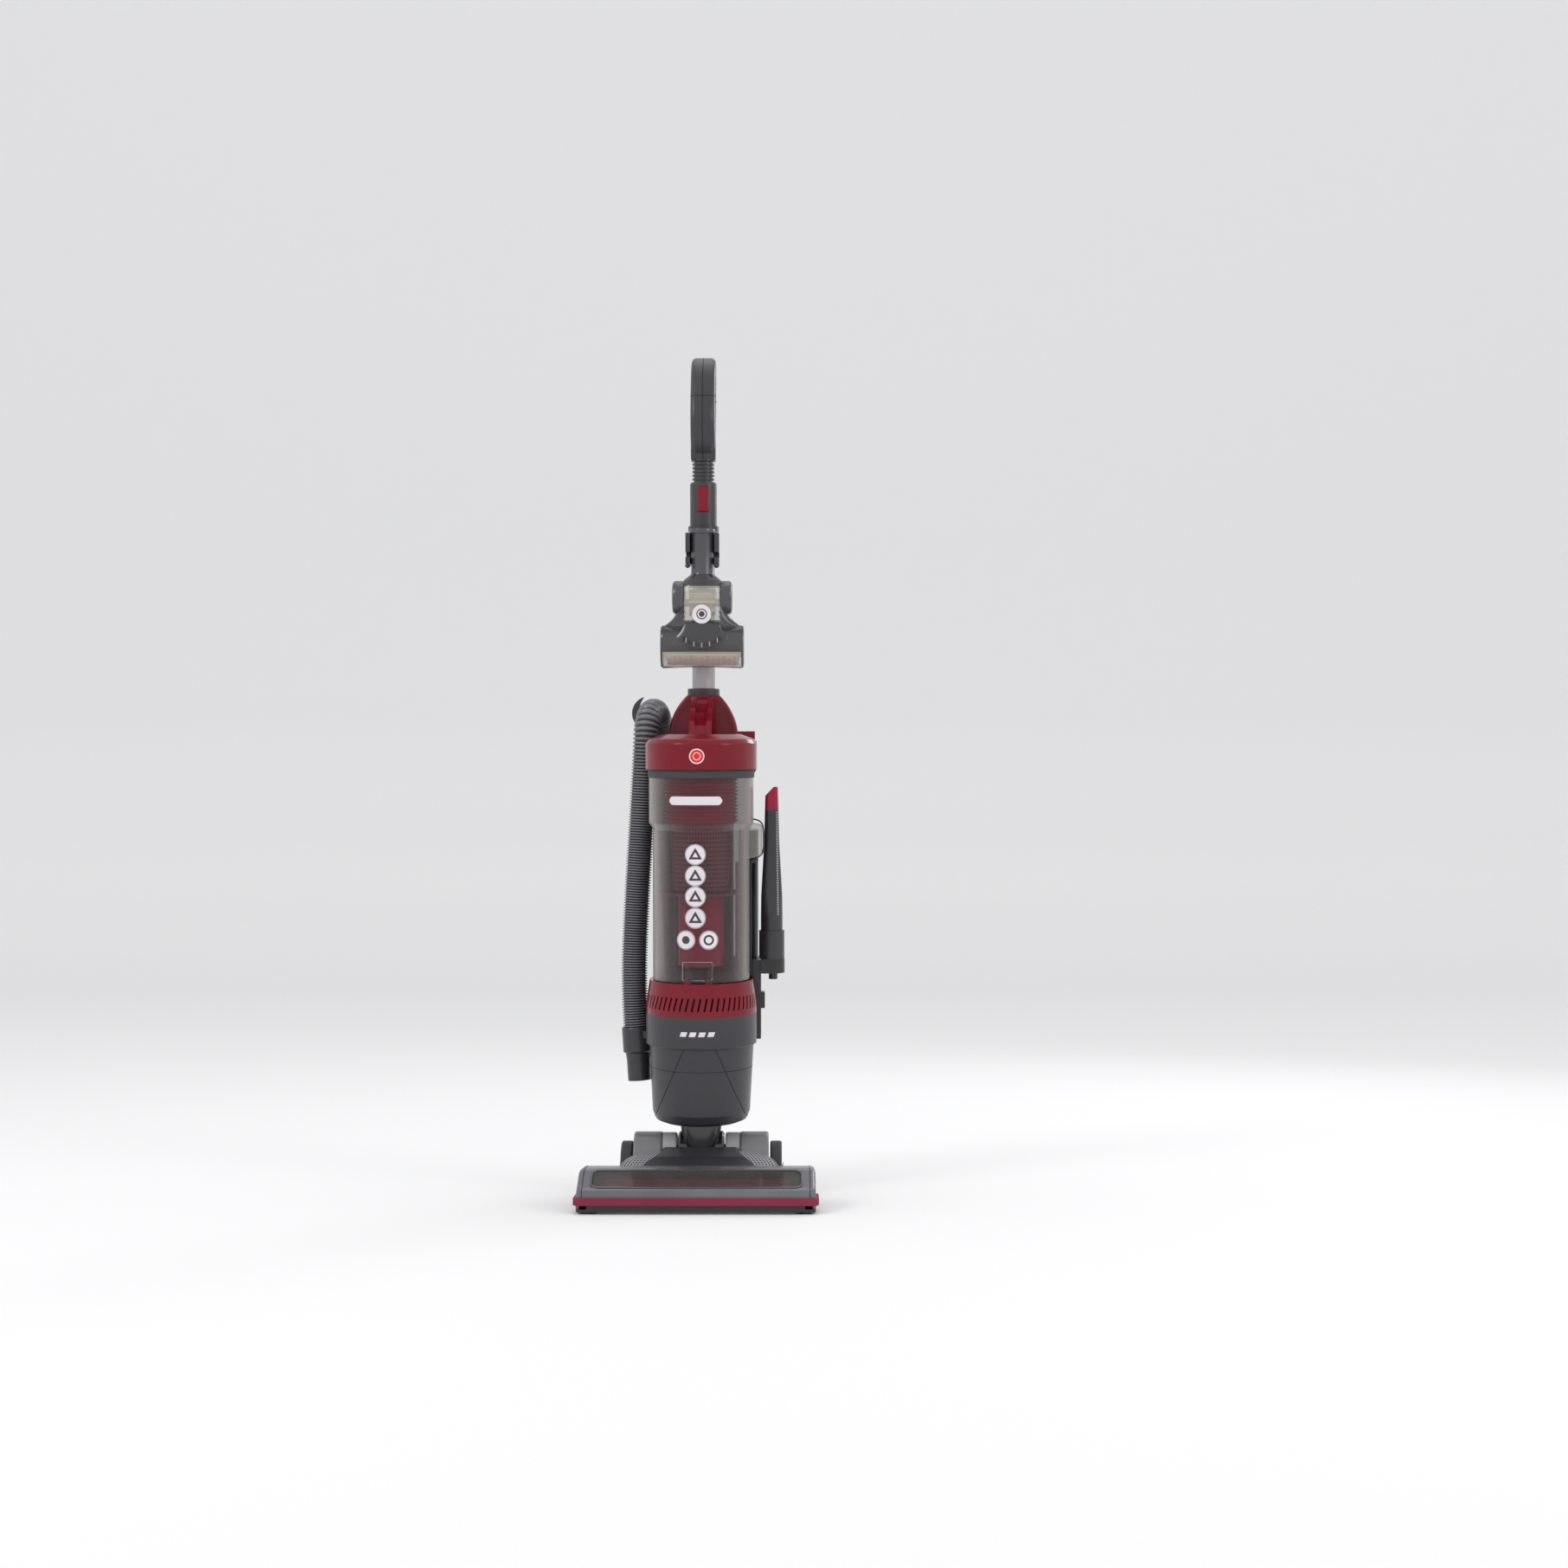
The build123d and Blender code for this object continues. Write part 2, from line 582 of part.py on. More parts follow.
with BuildPart(UPRIGHT) as tower_collar:
    with BuildSketch(UPRIGHT.offset(TOWER_Z + TOWER_TALL)):
        with Locations((0, WAND_Y)):
            Circle(22.4)
            Circle(WAND_R + FIT, mode=Mode.SUBTRACT)
    extrude(amount=9)
    fillet(tower_collar.edges().group_by(AXIS)[-1].sort_by(SortBy.LENGTH)[-1], 1.5)
tower_collar.part.label = "tower_collar"

with BuildPart(UPRIGHT) as tool_bracket:
    with BuildSketch(UPRIGHT.offset(240.5)):
        with Locations((88.5, TOOL_Y)):
            Rectangle(15, 36)
        with Locations((TOOL_X, TOOL_Y)):
            Circle(18)
        with Locations((71, TOOL_Y)):
            Rectangle(20, 40, mode=Mode.SUBTRACT)
    extrude(amount=TOOL_Z - 240.5)
    with BuildSketch(UPRIGHT.offset(TOOL_Z)):
        with Locations((TOOL_X, TOOL_Y)):
            Circle(14)
    extrude(amount=36, taper=1)
    with Locations((TOOL_X + 2, TOOL_Y - 10, 232.5)):
        Cylinder(6, 8, align=(Align.CENTER, Align.CENTER, Align.MIN))
tool_bracket.part.label = "tool_bracket"

with BuildPart(UPRIGHT) as upper_cord_hook:
    with BuildSketch(front(SPINE_BACK + 0.6)):
        with BuildLine():
            Polyline((30, 538), (30, 552), (66, 562), (74, 560), (74, 520), (66, 507), (60, 505),
                     (60, 509), (66, 522), (66, 546), (44, 538), close=True)
        make_face()
        with Locations((34, 545)):
            Circle(10)
            Circle(4 + FIT, mode=Mode.SUBTRACT)
    extrude(amount=-11)
upper_cord_hook.part.label = "upper_cord_hook"

with BuildPart(UPRIGHT) as cord_hook_mounts:
    with BuildSketch(side(22)):
        with BuildLine():
            Polyline((SPINE_BACK, 222), (SPINE_BACK, 250), (SPINE_BACK + 14, 236), (SPINE_BACK + 26, 232),
                     (SPINE_BACK + 26, 196), (SPINE_BACK + 21, 196), (SPINE_BACK + 21, 224), close=True)
        make_face()
    extrude(amount=14)
    with Locations(Location((34, SPINE_BACK + 6.5, 545), (90, 0, 0))):
        Cylinder(4, 13)
    with Locations(Location((34, SPINE_BACK + 13.2, 545), (90, 0, 0))):
        Cylinder(7, 2)
cord_hook_mounts.part.label = "cord_hook_mounts"

with BuildPart(UPRIGHT) as hose_cradle:
    with BuildSketch(front(90)):
        with BuildLine():
            Polyline((-48, 562), (-48, 574), (-56, 577.5), (-70, 580.5), (-84, 584), (-90, 592))
            ThreePointArc((-90, 592), (-90.5, 606), (-84, 622))
            ThreePointArc((-84, 622), (-100, 604), (-95, 584))
            Polyline((-95, 584), (-84, 575), (-70, 570), (-60, 562), (-48, 562))
        make_face()
    extrude(amount=-16)
hose_cradle.part.label = "hose_cradle"

PORT_X, PORT_Y, PORT_Z = -42.0, 137.0, 192.0
with BuildPart(UPRIGHT) as hose_port:
    with BuildSketch(UPRIGHT.offset(PORT_Z - 40)):
        with Locations((PORT_X, PORT_Y)):
            Circle(22)
        with Locations((PORT_X + 8, (SPINE_BACK + PORT_Y) / 2)):
            Rectangle(30, PORT_Y - SPINE_BACK)
        with Locations((PORT_X, PORT_Y)):
            Circle(15, mode=Mode.SUBTRACT)
    extrude(amount=40)
    fillet(hose_port.edges().group_by(AXIS)[0].filter_by(GeomType.CIRCLE), 2)
hose_port.part.label = "hose_port"

with BuildPart(UPRIGHT) as power_button:
    with Locations((81.5, 52, 201)):
        Box(10, 15.4, 22.4)
    fillet(power_button.faces().sort_by(Axis.X)[-1].edges(), 1.5)
power_button.part.label = "power_button"

# ---- lift-off bin ----
with BuildPart(UPRIGHT) as bin_shell:
    with BuildSketch(front(0)):
        with BuildLine():
            Polyline(
                (BIN_R, BIN_Z), (BIN_R, STEP_LOW), (BIN_TOP_R, STEP_HIGH), (BIN_TOP_R, GASKET_Z),
                (BIN_TOP_R - 2.2, GASKET_Z), (BIN_TOP_R - 2.2, STEP_HIGH + 1), (BIN_R - 2.2, STEP_LOW + 1),
                (BIN_R - 2.2, BIN_Z), close=True,
            )
        make_face()
    revolve(axis=AXIS)
    with BuildSketch(UPRIGHT.offset(394)):
        with Locations((64, 25.5)):
            RectangleRounded(24, 41, 4)
        Circle(BIN_R - 1, mode=Mode.SUBTRACT)
    extrude(amount=45)
    with BuildSketch(UPRIGHT.offset(397)):
        with Locations((63.5, 26)):
            RectangleRounded(20, 50, 3)
    extrude(amount=39, mode=Mode.SUBTRACT)
    with BuildSketch(front(-BIN_R + 1)):
        with Locations((0, 254.5)):
            RectangleRounded(38, 16, 3)
    extrude(amount=3)
    with Locations((-13, -BIN_R, BIN_Z), (13, -BIN_R, BIN_Z)):
        Box(7.6, 12, 5, mode=Mode.SUBTRACT)
bin_shell.part.label = "bin_shell"

with BuildPart() as bin_gasket:
    with BuildSketch(front(0)):
        Polygon(*ring(BIN_TOP_R + 1, 66, GASKET_Z, LID_Z), align=None)
    revolve(axis=AXIS)
    fillet(bin_gasket.edges().filter_by(GeomType.CIRCLE).sort_by(SortBy.LENGTH)[-2:], 1)
bin_gasket.part.label = "bin_gasket"

LID_DOME = [(0, LID_TOP), (54, LID_TOP - 1.5), (72, 564), (LID_R, 558)]
with BuildPart() as bin_lid:
    with BuildSketch(front(0)):
        with BuildLine():
            Polyline(
                *LID_DOME, (LID_R, LID_Z), (LID_R - WALL, LID_Z), (LID_R - WALL, 556),
                (70, 561), (53, 567.5), (0, LID_TOP - WALL), (0, LID_TOP),
            )
        make_face()
    revolve(axis=AXIS)
    brows = bin_lid.edges().filter_by(GeomType.CIRCLE).filter_by(lambda edge: edge.radius > 71)
    fillet(brows.sort_by(AXIS)[-2:], 3)
bin_lid.part.label = "bin_lid"

with BuildPart(UPRIGHT) as carry_handle:
    with BuildSketch(side(-15)):
        with BuildLine():
            Polyline((-36, 567), (-24, 588), (16, 606), (46, 622), (62, 622), (66, 612), (66, 561),
                     (54, 563), (54, 604), (46, 606), (18, 592), (-16, 577), (-22, 567), close=True)
        make_face()
    extrude(amount=30)
    with BuildSketch(side(-8)):
        with BuildLine():
            Polyline((-40, 573), (-30, 590), (14, 614), (36, 624), (40, 618), (36, 612), (14, 600),
                     (-24, 582), (-30, 573), close=True)
        make_face()
    extrude(amount=16, mode=Mode.SUBTRACT)
    with Locations((0, 54, 620)):
        Box(17, 13, 8, mode=Mode.SUBTRACT)
    with BuildSketch(front(0)):
        with BuildLine():
            Polyline(*LID_DOME, (0, 558), close=True)
        make_face()
    revolve(axis=AXIS, mode=Mode.SUBTRACT)
carry_handle.part.label = "carry_handle"

with BuildPart(UPRIGHT) as bin_release:
    with Locations((0, 54, 622)):
        Box(16.4, 12.4, 5)
    fillet(bin_release.edges().group_by(AXIS)[-1], 1.2)
bin_release.part.label = "bin_release"

with BuildPart() as separator:
    with BuildSketch(front(0)):
        Polygon(*ring(31, 28.5, 255, 353), align=None)
        Polygon(*ring(64, 28.5, 511.6, 515), align=None)
        for step in range(12):
            Polygon(*ring(50, 46, 452 + 5 * step, 454.5 + 5 * step), align=None)
        Polygon(*ring(47, 44, 450, 511.6), align=None)
        Polygon(*ring(47, 28.5, 450, 453), align=None)
    revolve(axis=AXIS)
separator.part.label = "separator"

with BuildPart() as screen:
    with BuildSketch(front(0)):
        with BuildLine():
            Polyline((38, 353), (42, 450), (39.5, 450), (35.5, 356), (28.5, 356), (28.5, 353), close=True)
        make_face()
        Polygon(*ring(58, 38, 353, 356), align=None)
    revolve(axis=AXIS)
screen.part.label = "screen"

with BuildPart(UPRIGHT) as bin_flap:
    with BuildSketch(UPRIGHT.offset(BIN_Z)):
        Circle(BIN_R - 2.5)
    extrude(amount=3)
    with Locations((-13, -BIN_R - 3.4, 246), (13, -BIN_R - 3.4, 246)):
        Box(7, 2.4, 14)
    with Locations((-13, -BIN_R + 2, BIN_Z + 1), (13, -BIN_R + 2, BIN_Z + 1)):
        Box(7, 13.2, 2)
bin_flap.part.label = "bin_flap"

# ---- wand, handle and its catches ----
with BuildPart() as wand_tube:
    with BuildSketch(UPRIGHT.offset(WAND_LOW)):
        with Locations((0, WAND_Y)):
            Circle(WAND_R)
            Circle(WAND_R - 1.2, mode=Mode.SUBTRACT)
    extrude(amount=WAND_TOP - WAND_LOW)
wand_tube.part.label = "wand_tube"

WAND_AXIS = Axis(place(0, WAND_Y, 0), UPRIGHT.z_dir)
with BuildPart(UPRIGHT) as handle_collar:
    with BuildSketch(front(WAND_Y)):
        with BuildLine():
            Polyline(
                (WAND_R, 854), (21.5, 854), (21.5, 861), (18.75, 862), (18.75, 920), (17, 922.5),
                (13, 923), (13, 952), (17, 952), (17, 954), (0, 954), (0, WAND_TOP),
                (WAND_R, WAND_TOP), close=True,
            )
        make_face()
        for step in range(5):
            with Locations((13.5, 927 + 5.2 * step)):
                Rectangle(4, 2.4)
    revolve(axis=WAND_AXIS)
    with Locations((0, WAND_Y - 18, 898)):
        Box(17, 8, 36, mode=Mode.SUBTRACT)
handle_collar.part.label = "handle_collar"

with BuildPart(UPRIGHT) as release_button:
    with Locations((0, WAND_Y - 19.5, 898)):
        Box(16.4, 3, 35.4)
    fillet(release_button.faces().sort_by(Axis(UPRIGHT.origin, UPRIGHT.y_dir))[0].edges(), 1.5)
release_button.part.label = "release_button"

GRIP_HALF = 17.0
GRIP_WALL = 3.0
with BuildPart() as handle_right:
    with BuildSketch(side(0)) as loop:
        with BuildLine():
            Polyline((WAND_Y - 15, 954), (WAND_Y - 16, 962))
            Spline((WAND_Y - 16, 962), (WAND_Y - 38, 1005), (WAND_Y - 28, 1050), (WAND_Y + 12, 1098),
                   (WAND_Y + 42, 1096), (WAND_Y + 48, 1060), (WAND_Y + 32, 1005), (WAND_Y + 16, 962))
            Polyline((WAND_Y + 16, 962), (WAND_Y + 15, 954), (WAND_Y - 15, 954))
        make_face()
        with BuildLine():
            Spline((WAND_Y - 2, 985), (WAND_Y - 14, 1010), (WAND_Y - 6, 1042), (WAND_Y + 18, 1074),
                   (WAND_Y + 24, 1050), (WAND_Y + 14, 1010), periodic=True)
        make_face(mode=Mode.SUBTRACT)
    extrude(amount=GRIP_HALF)
    fillet(handle_right.faces().sort_by(Axis.X)[-1].edges().filter_by(lambda edge: edge.length > 60), 7)
    inset = offset(loop.sketch_local, amount=-GRIP_WALL, mode=Mode.PRIVATE).face()
    with BuildSketch(side(0)):
        for wire, mode in ((inset.outer_wire(), Mode.ADD), (inset.inner_wires()[0], Mode.SUBTRACT)):
            with BuildLine():
                Spline(*[wire @ (step / 30) for step in range(30)], periodic=True)
            make_face(mode=mode)
    extrude(amount=GRIP_HALF - GRIP_WALL, mode=Mode.SUBTRACT)
handle_right.part.label = "handle_right"

with BuildPart() as handle_left:
    add(mirror(handle_right.part, about=Plane.YZ))
handle_left.part.label = "handle_left"

with BuildPart(UPRIGHT) as tool_saddle:
    with BuildSketch(UPRIGHT.offset(806)):
        with Locations((0, WAND_Y)):
            Circle(20)
        with Locations((0, 59)):
            Rectangle(46, 38)
        with Locations((0, PET_Y - 12)):
            Rectangle(34, 58, mode=Mode.SUBTRACT)
        with Locations((0, WAND_Y)):
            Circle(WAND_R, mode=Mode.SUBTRACT)
    extrude(amount=42)
    with BuildSketch(side(-24)):
        with Locations((50, 818)):
            SlotOverall(26, 7)
    extrude(amount=48, mode=Mode.SUBTRACT)
    with Locations((-20, 43, 803), (20, 43, 803)):
        Sphere(3.6)
tool_saddle.part.label = "tool_saddle"

# ---- mini turbo tool ----
with BuildPart(UPRIGHT) as pet_covers:
    with BuildSketch(UPRIGHT.offset(796)):
        with Locations((0, PET_Y)):
            Circle(16)
            Circle(13.5, mode=Mode.SUBTRACT)
    extrude(amount=56)
    with BuildSketch(UPRIGHT.offset(849)):
        with Locations((0, PET_Y)):
            Circle(17.6)
            Circle(13.5, mode=Mode.SUBTRACT)
    extrude(amount=5)
    for hand in (-1, 1):
        with Locations(across(hand * 38.5, PET_Y - 2, 758)):
            Cylinder(23, 9)
        with Locations(across(hand * 58, PET_Y - 2, 684)):
            Cylinder(22, 6)
    fillet(pet_covers.faces().sort_by(Axis.X)[-1].edges(), 2.5)
    fillet(pet_covers.faces().sort_by(Axis.X)[0].edges(), 2.5)
pet_covers.part.label = "pet_covers"

PET_OUTLINE = [(55, 661), (55, 702), (46, 714), (34, 720), (34, 784), (20, 796)]
with BuildPart(UPRIGHT) as pet_body:
    with BuildSketch(front(PET_Y - 26)):
        with BuildLine():
            Polyline(*PET_OUTLINE, *[(-x, z) for x, z in reversed(PET_OUTLINE)], close=True)
        make_face()
    extrude(amount=-49)
    top_rims = pet_body.edges().filter_by(Axis(UPRIGHT.origin, UPRIGHT.y_dir))
    fillet(top_rims.filter_by(lambda edge: AXIS.position.Z + 700 < edge.center().Z), 5)
    with BuildSketch(UPRIGHT.offset(661)):
        with Locations((0, PET_Y - 1.5)):
            Rectangle(105, 44)
    extrude(amount=44, mode=Mode.SUBTRACT)
    with BuildSketch(UPRIGHT.offset(705)):
        with Locations((0, PET_Y - 1.5)):
            Rectangle(62, 42)
    extrude(amount=82, mode=Mode.SUBTRACT)
    with Locations((0, PET_Y, 790)):
        Cylinder(13.5, 30, mode=Mode.SUBTRACT)
    with BuildSketch(front(PET_Y - 26)):
        with Locations((0, 680)):
            Rectangle(96, 26)
    extrude(amount=-5, mode=Mode.SUBTRACT)
    with Locations(across(0, PET_Y - 2, 680)):
        Cylinder(3 + FIT, 112, mode=Mode.SUBTRACT)
pet_body.part.label = "pet_body"

with BuildPart(UPRIGHT) as pet_window:
    with Locations((0, PET_Y - 24.8, 680)):
        Box(95.6, 2.2, 25.6)
pet_window.part.label = "pet_window"

with BuildPart(UPRIGHT) as pet_brush:
    with Locations(across(0, PET_Y - 2, 680)):
        Cylinder(8, 103)
        Cylinder(3, 109)
    for turn in (0, 90, 180, 270):
        with BuildSketch(side(-48)):
            with Locations(Location((PET_Y - 2, 680), turn)):
                with Locations((10.5, 0)):
                    Rectangle(7, 3)
        extrude(amount=96)
pet_brush.part.label = "pet_brush"

with BuildPart(UPRIGHT) as pet_turbine:
    with Locations(across(0, PET_Y - 2, 752)):
        Cylinder(5, 61.4)
    for blade in range(8):
        with BuildSketch(side(-18)):
            with Locations(Location((PET_Y - 2, 752), 45 * blade)):
                with Locations((11, 0)):
                    Rectangle(14, 1.6)
        extrude(amount=36)
pet_turbine.part.label = "pet_turbine"

# ---- crevice tool ----
TOOL_SECTIONS = [(318, 30, 30, 14.8), (348, 29, 36, 9), (420, 21, 40, 7), (497, 17, 40, 5)]
with BuildPart(UPRIGHT) as crevice_tool:
    with BuildSketch(UPRIGHT.offset(TOOL_Z)):
        with Locations((TOOL_X, TOOL_Y)):
            Circle(17.5)
    extrude(amount=39)
    with BuildSketch(UPRIGHT.offset(TOOL_Z + 39)):
        with Locations((TOOL_X, TOOL_Y)):
            Circle(15)
    extrude(amount=19)
    for height, wide, deep, corner in TOOL_SECTIONS:
        with BuildSketch(UPRIGHT.offset(height)):
            with Locations((TOOL_X, TOOL_Y)):
                RectangleRounded(wide, deep, corner)
    loft(ruled=True)
    with BuildSketch(UPRIGHT.offset(TOOL_Z)):
        with Locations((TOOL_X, TOOL_Y)):
            Circle(14 + FIT)
    extrude(amount=40, mode=Mode.SUBTRACT)
    with BuildSketch(UPRIGHT.offset(TOOL_Z + 40)):
        with Locations((TOOL_X, TOOL_Y)):
            Circle(12)
    extrude(amount=20, mode=Mode.SUBTRACT)
    for height, wide, deep, corner in [(320, 24, 24, 11.8), *TOOL_SECTIONS[1:]]:
        with BuildSketch(UPRIGHT.offset(height)):
            with Locations((TOOL_X, TOOL_Y)):
                RectangleRounded(wide - 5, deep - 5, corner - 3 if corner < 10 else 9.4)
    loft(ruled=True, mode=Mode.SUBTRACT)
    split(bisect_by=UPRIGHT.offset(466), keep=Keep.BOTTOM)
crevice_tool.part.label = "crevice_tool"

with BuildPart(UPRIGHT) as crevice_tip:
    for height, wide, deep in [(466, 18.6, 40), (497, 17, 40)]:
        with BuildSketch(UPRIGHT.offset(height)):
            with Locations((TOOL_X, TOOL_Y)):
                RectangleRounded(wide, deep, 5)
    loft(ruled=True)
    for height, wide, deep in [(466, 13.6, 35), (497, 12, 35)]:
        with BuildSketch(UPRIGHT.offset(height)):
            with Locations((TOOL_X, TOOL_Y)):
                RectangleRounded(wide, deep, 3)
    loft(ruled=True, mode=Mode.SUBTRACT)
    with BuildSketch(front(0)):
        with BuildLine():
            Polyline((80, 478), (106, 504), (80, 504), close=True)
        make_face()
    extrude(amount=-80, mode=Mode.SUBTRACT)
crevice_tip.part.label = "crevice_tip"

# ---- stretch hose: parked connector, over the cradle, down to its port at the back ----
ROUTE = [
    (-92, 41, 165), (-96, 44, 225), (-92, 47, 330), (-86, 50, 430), (-81, 55, 520),
    (-77, 57, 602), (-63, 139, 602), (-56, 137, 490), (-49, 142, 370), (-42, 137, 262),
    (-42, 137, 192),
]
points = [place(*point) for point in ROUTE]
radii = []
for before, corner, after in zip(points, points[1:], points[2:]):
    shorter = min((corner - before).length, (after - corner).length)
    turn = (corner - before).get_angle(after - corner)
    radii.append(0.45 * shorter / tan(radians(turn / 2)))
print("hose radii:", [round(radius) for radius in radii])

with BuildPart() as hose:
    with BuildLine() as route:
        FilletPolyline(*points, radius=radii)
    with BuildSketch(Plane(origin=points[0], z_dir=points[1] - points[0])):
        Circle(HOSE_R)
    sweep(transition=Transition.RIGHT)
hose.part.label = "hose"
print("hose length:", round(route.wires()[0].length))

CONNECTOR = Plane(origin=points[0], x_dir=(1, 0, 0), z_dir=points[1] - points[0])
with BuildPart() as hose_connector:
    with BuildSketch(Plane(CONNECTOR.origin, x_dir=CONNECTOR.x_dir, z_dir=-CONNECTOR.y_dir)):
        with BuildLine():
            Polyline((0, 0), (19, 0), (20, -2), (20, -34), (17, -36), (16, -46), (16, -74), (14, -74),
                     (14, -3), (0, -3), close=True)
        make_face()
    revolve(axis=Axis(CONNECTOR.origin, CONNECTOR.z_dir))
hose_connector.part.label = "hose_connector"

# ---- output ----
PIECES = [
    sole_plate, sole_glides, nozzle_cover, nozzle_window, bumper_strip, base_housing, bonnet,
    vent_panels, side_covers, recline_pedal, pedal_spring, hub_bushes, left_wheel, right_wheel,
    wheel_axles, brush_roll, roll_bearings, brush_motor, motor_pulley, brush_belt, neck,
    motor_bowl, main_motor, motor_fan, motor_band, exhaust_ring, exhaust_filter, spine,
    riser_duct, wand_tower, tower_collar, tool_bracket, upper_cord_hook, cord_hook_mounts,
    hose_cradle, hose_port, power_button, bin_shell, bin_gasket, bin_lid, carry_handle,
    bin_release, separator, screen, bin_flap, wand_tube, handle_collar, release_button,
    handle_left, handle_right, tool_saddle, pet_covers, pet_body, pet_window, pet_brush,
    pet_turbine, crevice_tool, crevice_tip, hose, hose_connector,
]
os.makedirs("parts", exist_ok=True)
for piece in PIECES:
    export_step(piece.part, f"parts/{piece.part.label}.step")
print(len(PIECES), "pieces written")
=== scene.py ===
import bpy
import bmesh
import json
import math
from mathutils import Matrix, Vector


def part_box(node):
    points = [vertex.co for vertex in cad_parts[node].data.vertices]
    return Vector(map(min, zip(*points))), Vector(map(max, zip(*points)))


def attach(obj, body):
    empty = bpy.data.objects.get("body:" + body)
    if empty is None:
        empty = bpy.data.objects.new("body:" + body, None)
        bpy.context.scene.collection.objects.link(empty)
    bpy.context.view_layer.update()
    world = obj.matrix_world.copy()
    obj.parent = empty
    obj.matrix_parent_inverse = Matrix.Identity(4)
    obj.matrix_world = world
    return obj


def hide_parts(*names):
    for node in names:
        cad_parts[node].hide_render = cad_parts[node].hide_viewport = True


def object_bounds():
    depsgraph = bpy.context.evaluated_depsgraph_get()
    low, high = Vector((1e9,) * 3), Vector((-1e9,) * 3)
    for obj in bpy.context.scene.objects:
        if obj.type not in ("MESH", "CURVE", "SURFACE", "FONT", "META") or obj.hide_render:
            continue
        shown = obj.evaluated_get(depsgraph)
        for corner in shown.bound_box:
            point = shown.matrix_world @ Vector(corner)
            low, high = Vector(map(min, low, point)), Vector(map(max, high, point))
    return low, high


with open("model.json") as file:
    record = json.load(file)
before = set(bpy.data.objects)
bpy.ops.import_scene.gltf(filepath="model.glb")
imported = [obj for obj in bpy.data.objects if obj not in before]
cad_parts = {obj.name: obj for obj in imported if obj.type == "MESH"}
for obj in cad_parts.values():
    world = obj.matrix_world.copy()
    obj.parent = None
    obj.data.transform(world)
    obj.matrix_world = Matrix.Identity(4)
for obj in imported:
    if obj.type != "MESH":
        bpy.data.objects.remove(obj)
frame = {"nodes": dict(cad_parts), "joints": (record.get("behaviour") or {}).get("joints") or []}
cad_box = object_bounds()
nodes = frame["nodes"]

# ---- Studio: a pale matt floor that rises into a plain backdrop, lit softly from above and both sides.
# The camera stands low and a little to the right, looking slightly up.
bpy.ops.object.select_all(action="DESELECT")
bpy.ops.mesh.primitive_plane_add(size=30, location=(0, -7.5, 0))
studio_floor = bpy.context.object
studio_floor.name = "studio_floor"
bpy.ops.object.mode_set(mode="EDIT")
bpy.ops.mesh.select_mode(type="EDGE")
bpy.ops.mesh.select_all(action="DESELECT")
bpy.ops.object.mode_set(mode="OBJECT")
for edge in studio_floor.data.edges:
    ends = [studio_floor.data.vertices[index].co.y for index in edge.vertices]
    edge.select = min(ends) > 5
bpy.ops.object.mode_set(mode="EDIT")
for lift in (0.1, 0.25, 0.45, 0.7, 1.0, 6.0):
    bpy.ops.mesh.extrude_region_move(TRANSFORM_OT_translate={"value": (0, max(0.8 - 0.8 * lift, 0), lift)})
bpy.ops.object.mode_set(mode="OBJECT")
bpy.ops.object.transform_apply(location=True, rotation=True, scale=True)
bpy.ops.object.shade_smooth()
paper = bpy.data.materials.new("studio_paper")
paper.use_nodes = True
paper.node_tree.nodes["Principled BSDF"].inputs["Base Color"].default_value = (0.84, 0.84, 0.85, 1)
paper.node_tree.nodes["Principled BSDF"].inputs["Roughness"].default_value = 0.85
studio_floor.data.materials.append(paper)

for name, place, aim, size, power in (
    ("key_light", (-2.4, -2.2, 2.4), (0, 0, 0.6), 1.2, 26),
    ("fill_light", (2.6, -1.8, 1.6), (0, 0, 0.6), 1.2, 13),
    ("top_light", (0.2, 0.3, 3.2), (0, 0, 0.4), 2.0, 10),
    ("rim_light", (1.6, 2.0, 1.8), (0, 0, 0.7), 1.0, 10),
):
    bpy.ops.object.light_add(type="AREA", location=place)
    lamp = bpy.context.object
    lamp.name = name
    lamp.data.shape = "DISK"
    lamp.data.size = size
    lamp.data.energy = power
    lamp.rotation_euler = (Vector(aim) - Vector(place)).to_track_quat("-Z", "Y").to_euler()
sky = bpy.data.worlds.new("studio_sky")
sky.use_nodes = True
sky.node_tree.nodes["Background"].inputs["Color"].default_value = (1.0, 1.0, 1.0, 1)
sky.node_tree.nodes["Background"].inputs["Strength"].default_value = 0.92
bpy.context.scene.world = sky
bpy.context.scene.view_settings.view_transform = "Standard"

front_face = cad_box[0][1]
bpy.ops.object.camera_add(
    location=(0.113, front_face - 2.792, 0.387), rotation=(math.radians(90 + 3.37), 0, 0)
)
camera = bpy.context.object
camera.data.sensor_width = 36
camera.data.lens = 49.7
bpy.context.scene.camera = camera

# ---- The body's own leaning frame: it is parked five degrees forward on the recline pivot,
# so every piece on it is laid out straight and then leaned over.
recline = [joint for joint in frame["joints"] if joint["name"] == "recline"][0]
PARKED_LEAN = math.radians(5)
lean = Matrix.Translation(Vector(recline["pos_m"])) @ Matrix.Rotation(PARKED_LEAN, 4, "X")


def on_body(x, y, z):
    """A place in the body's own frame, given in millimetres, as a point in the row frame."""
    return lean @ Vector((x / 1000, y / 1000, z / 1000))


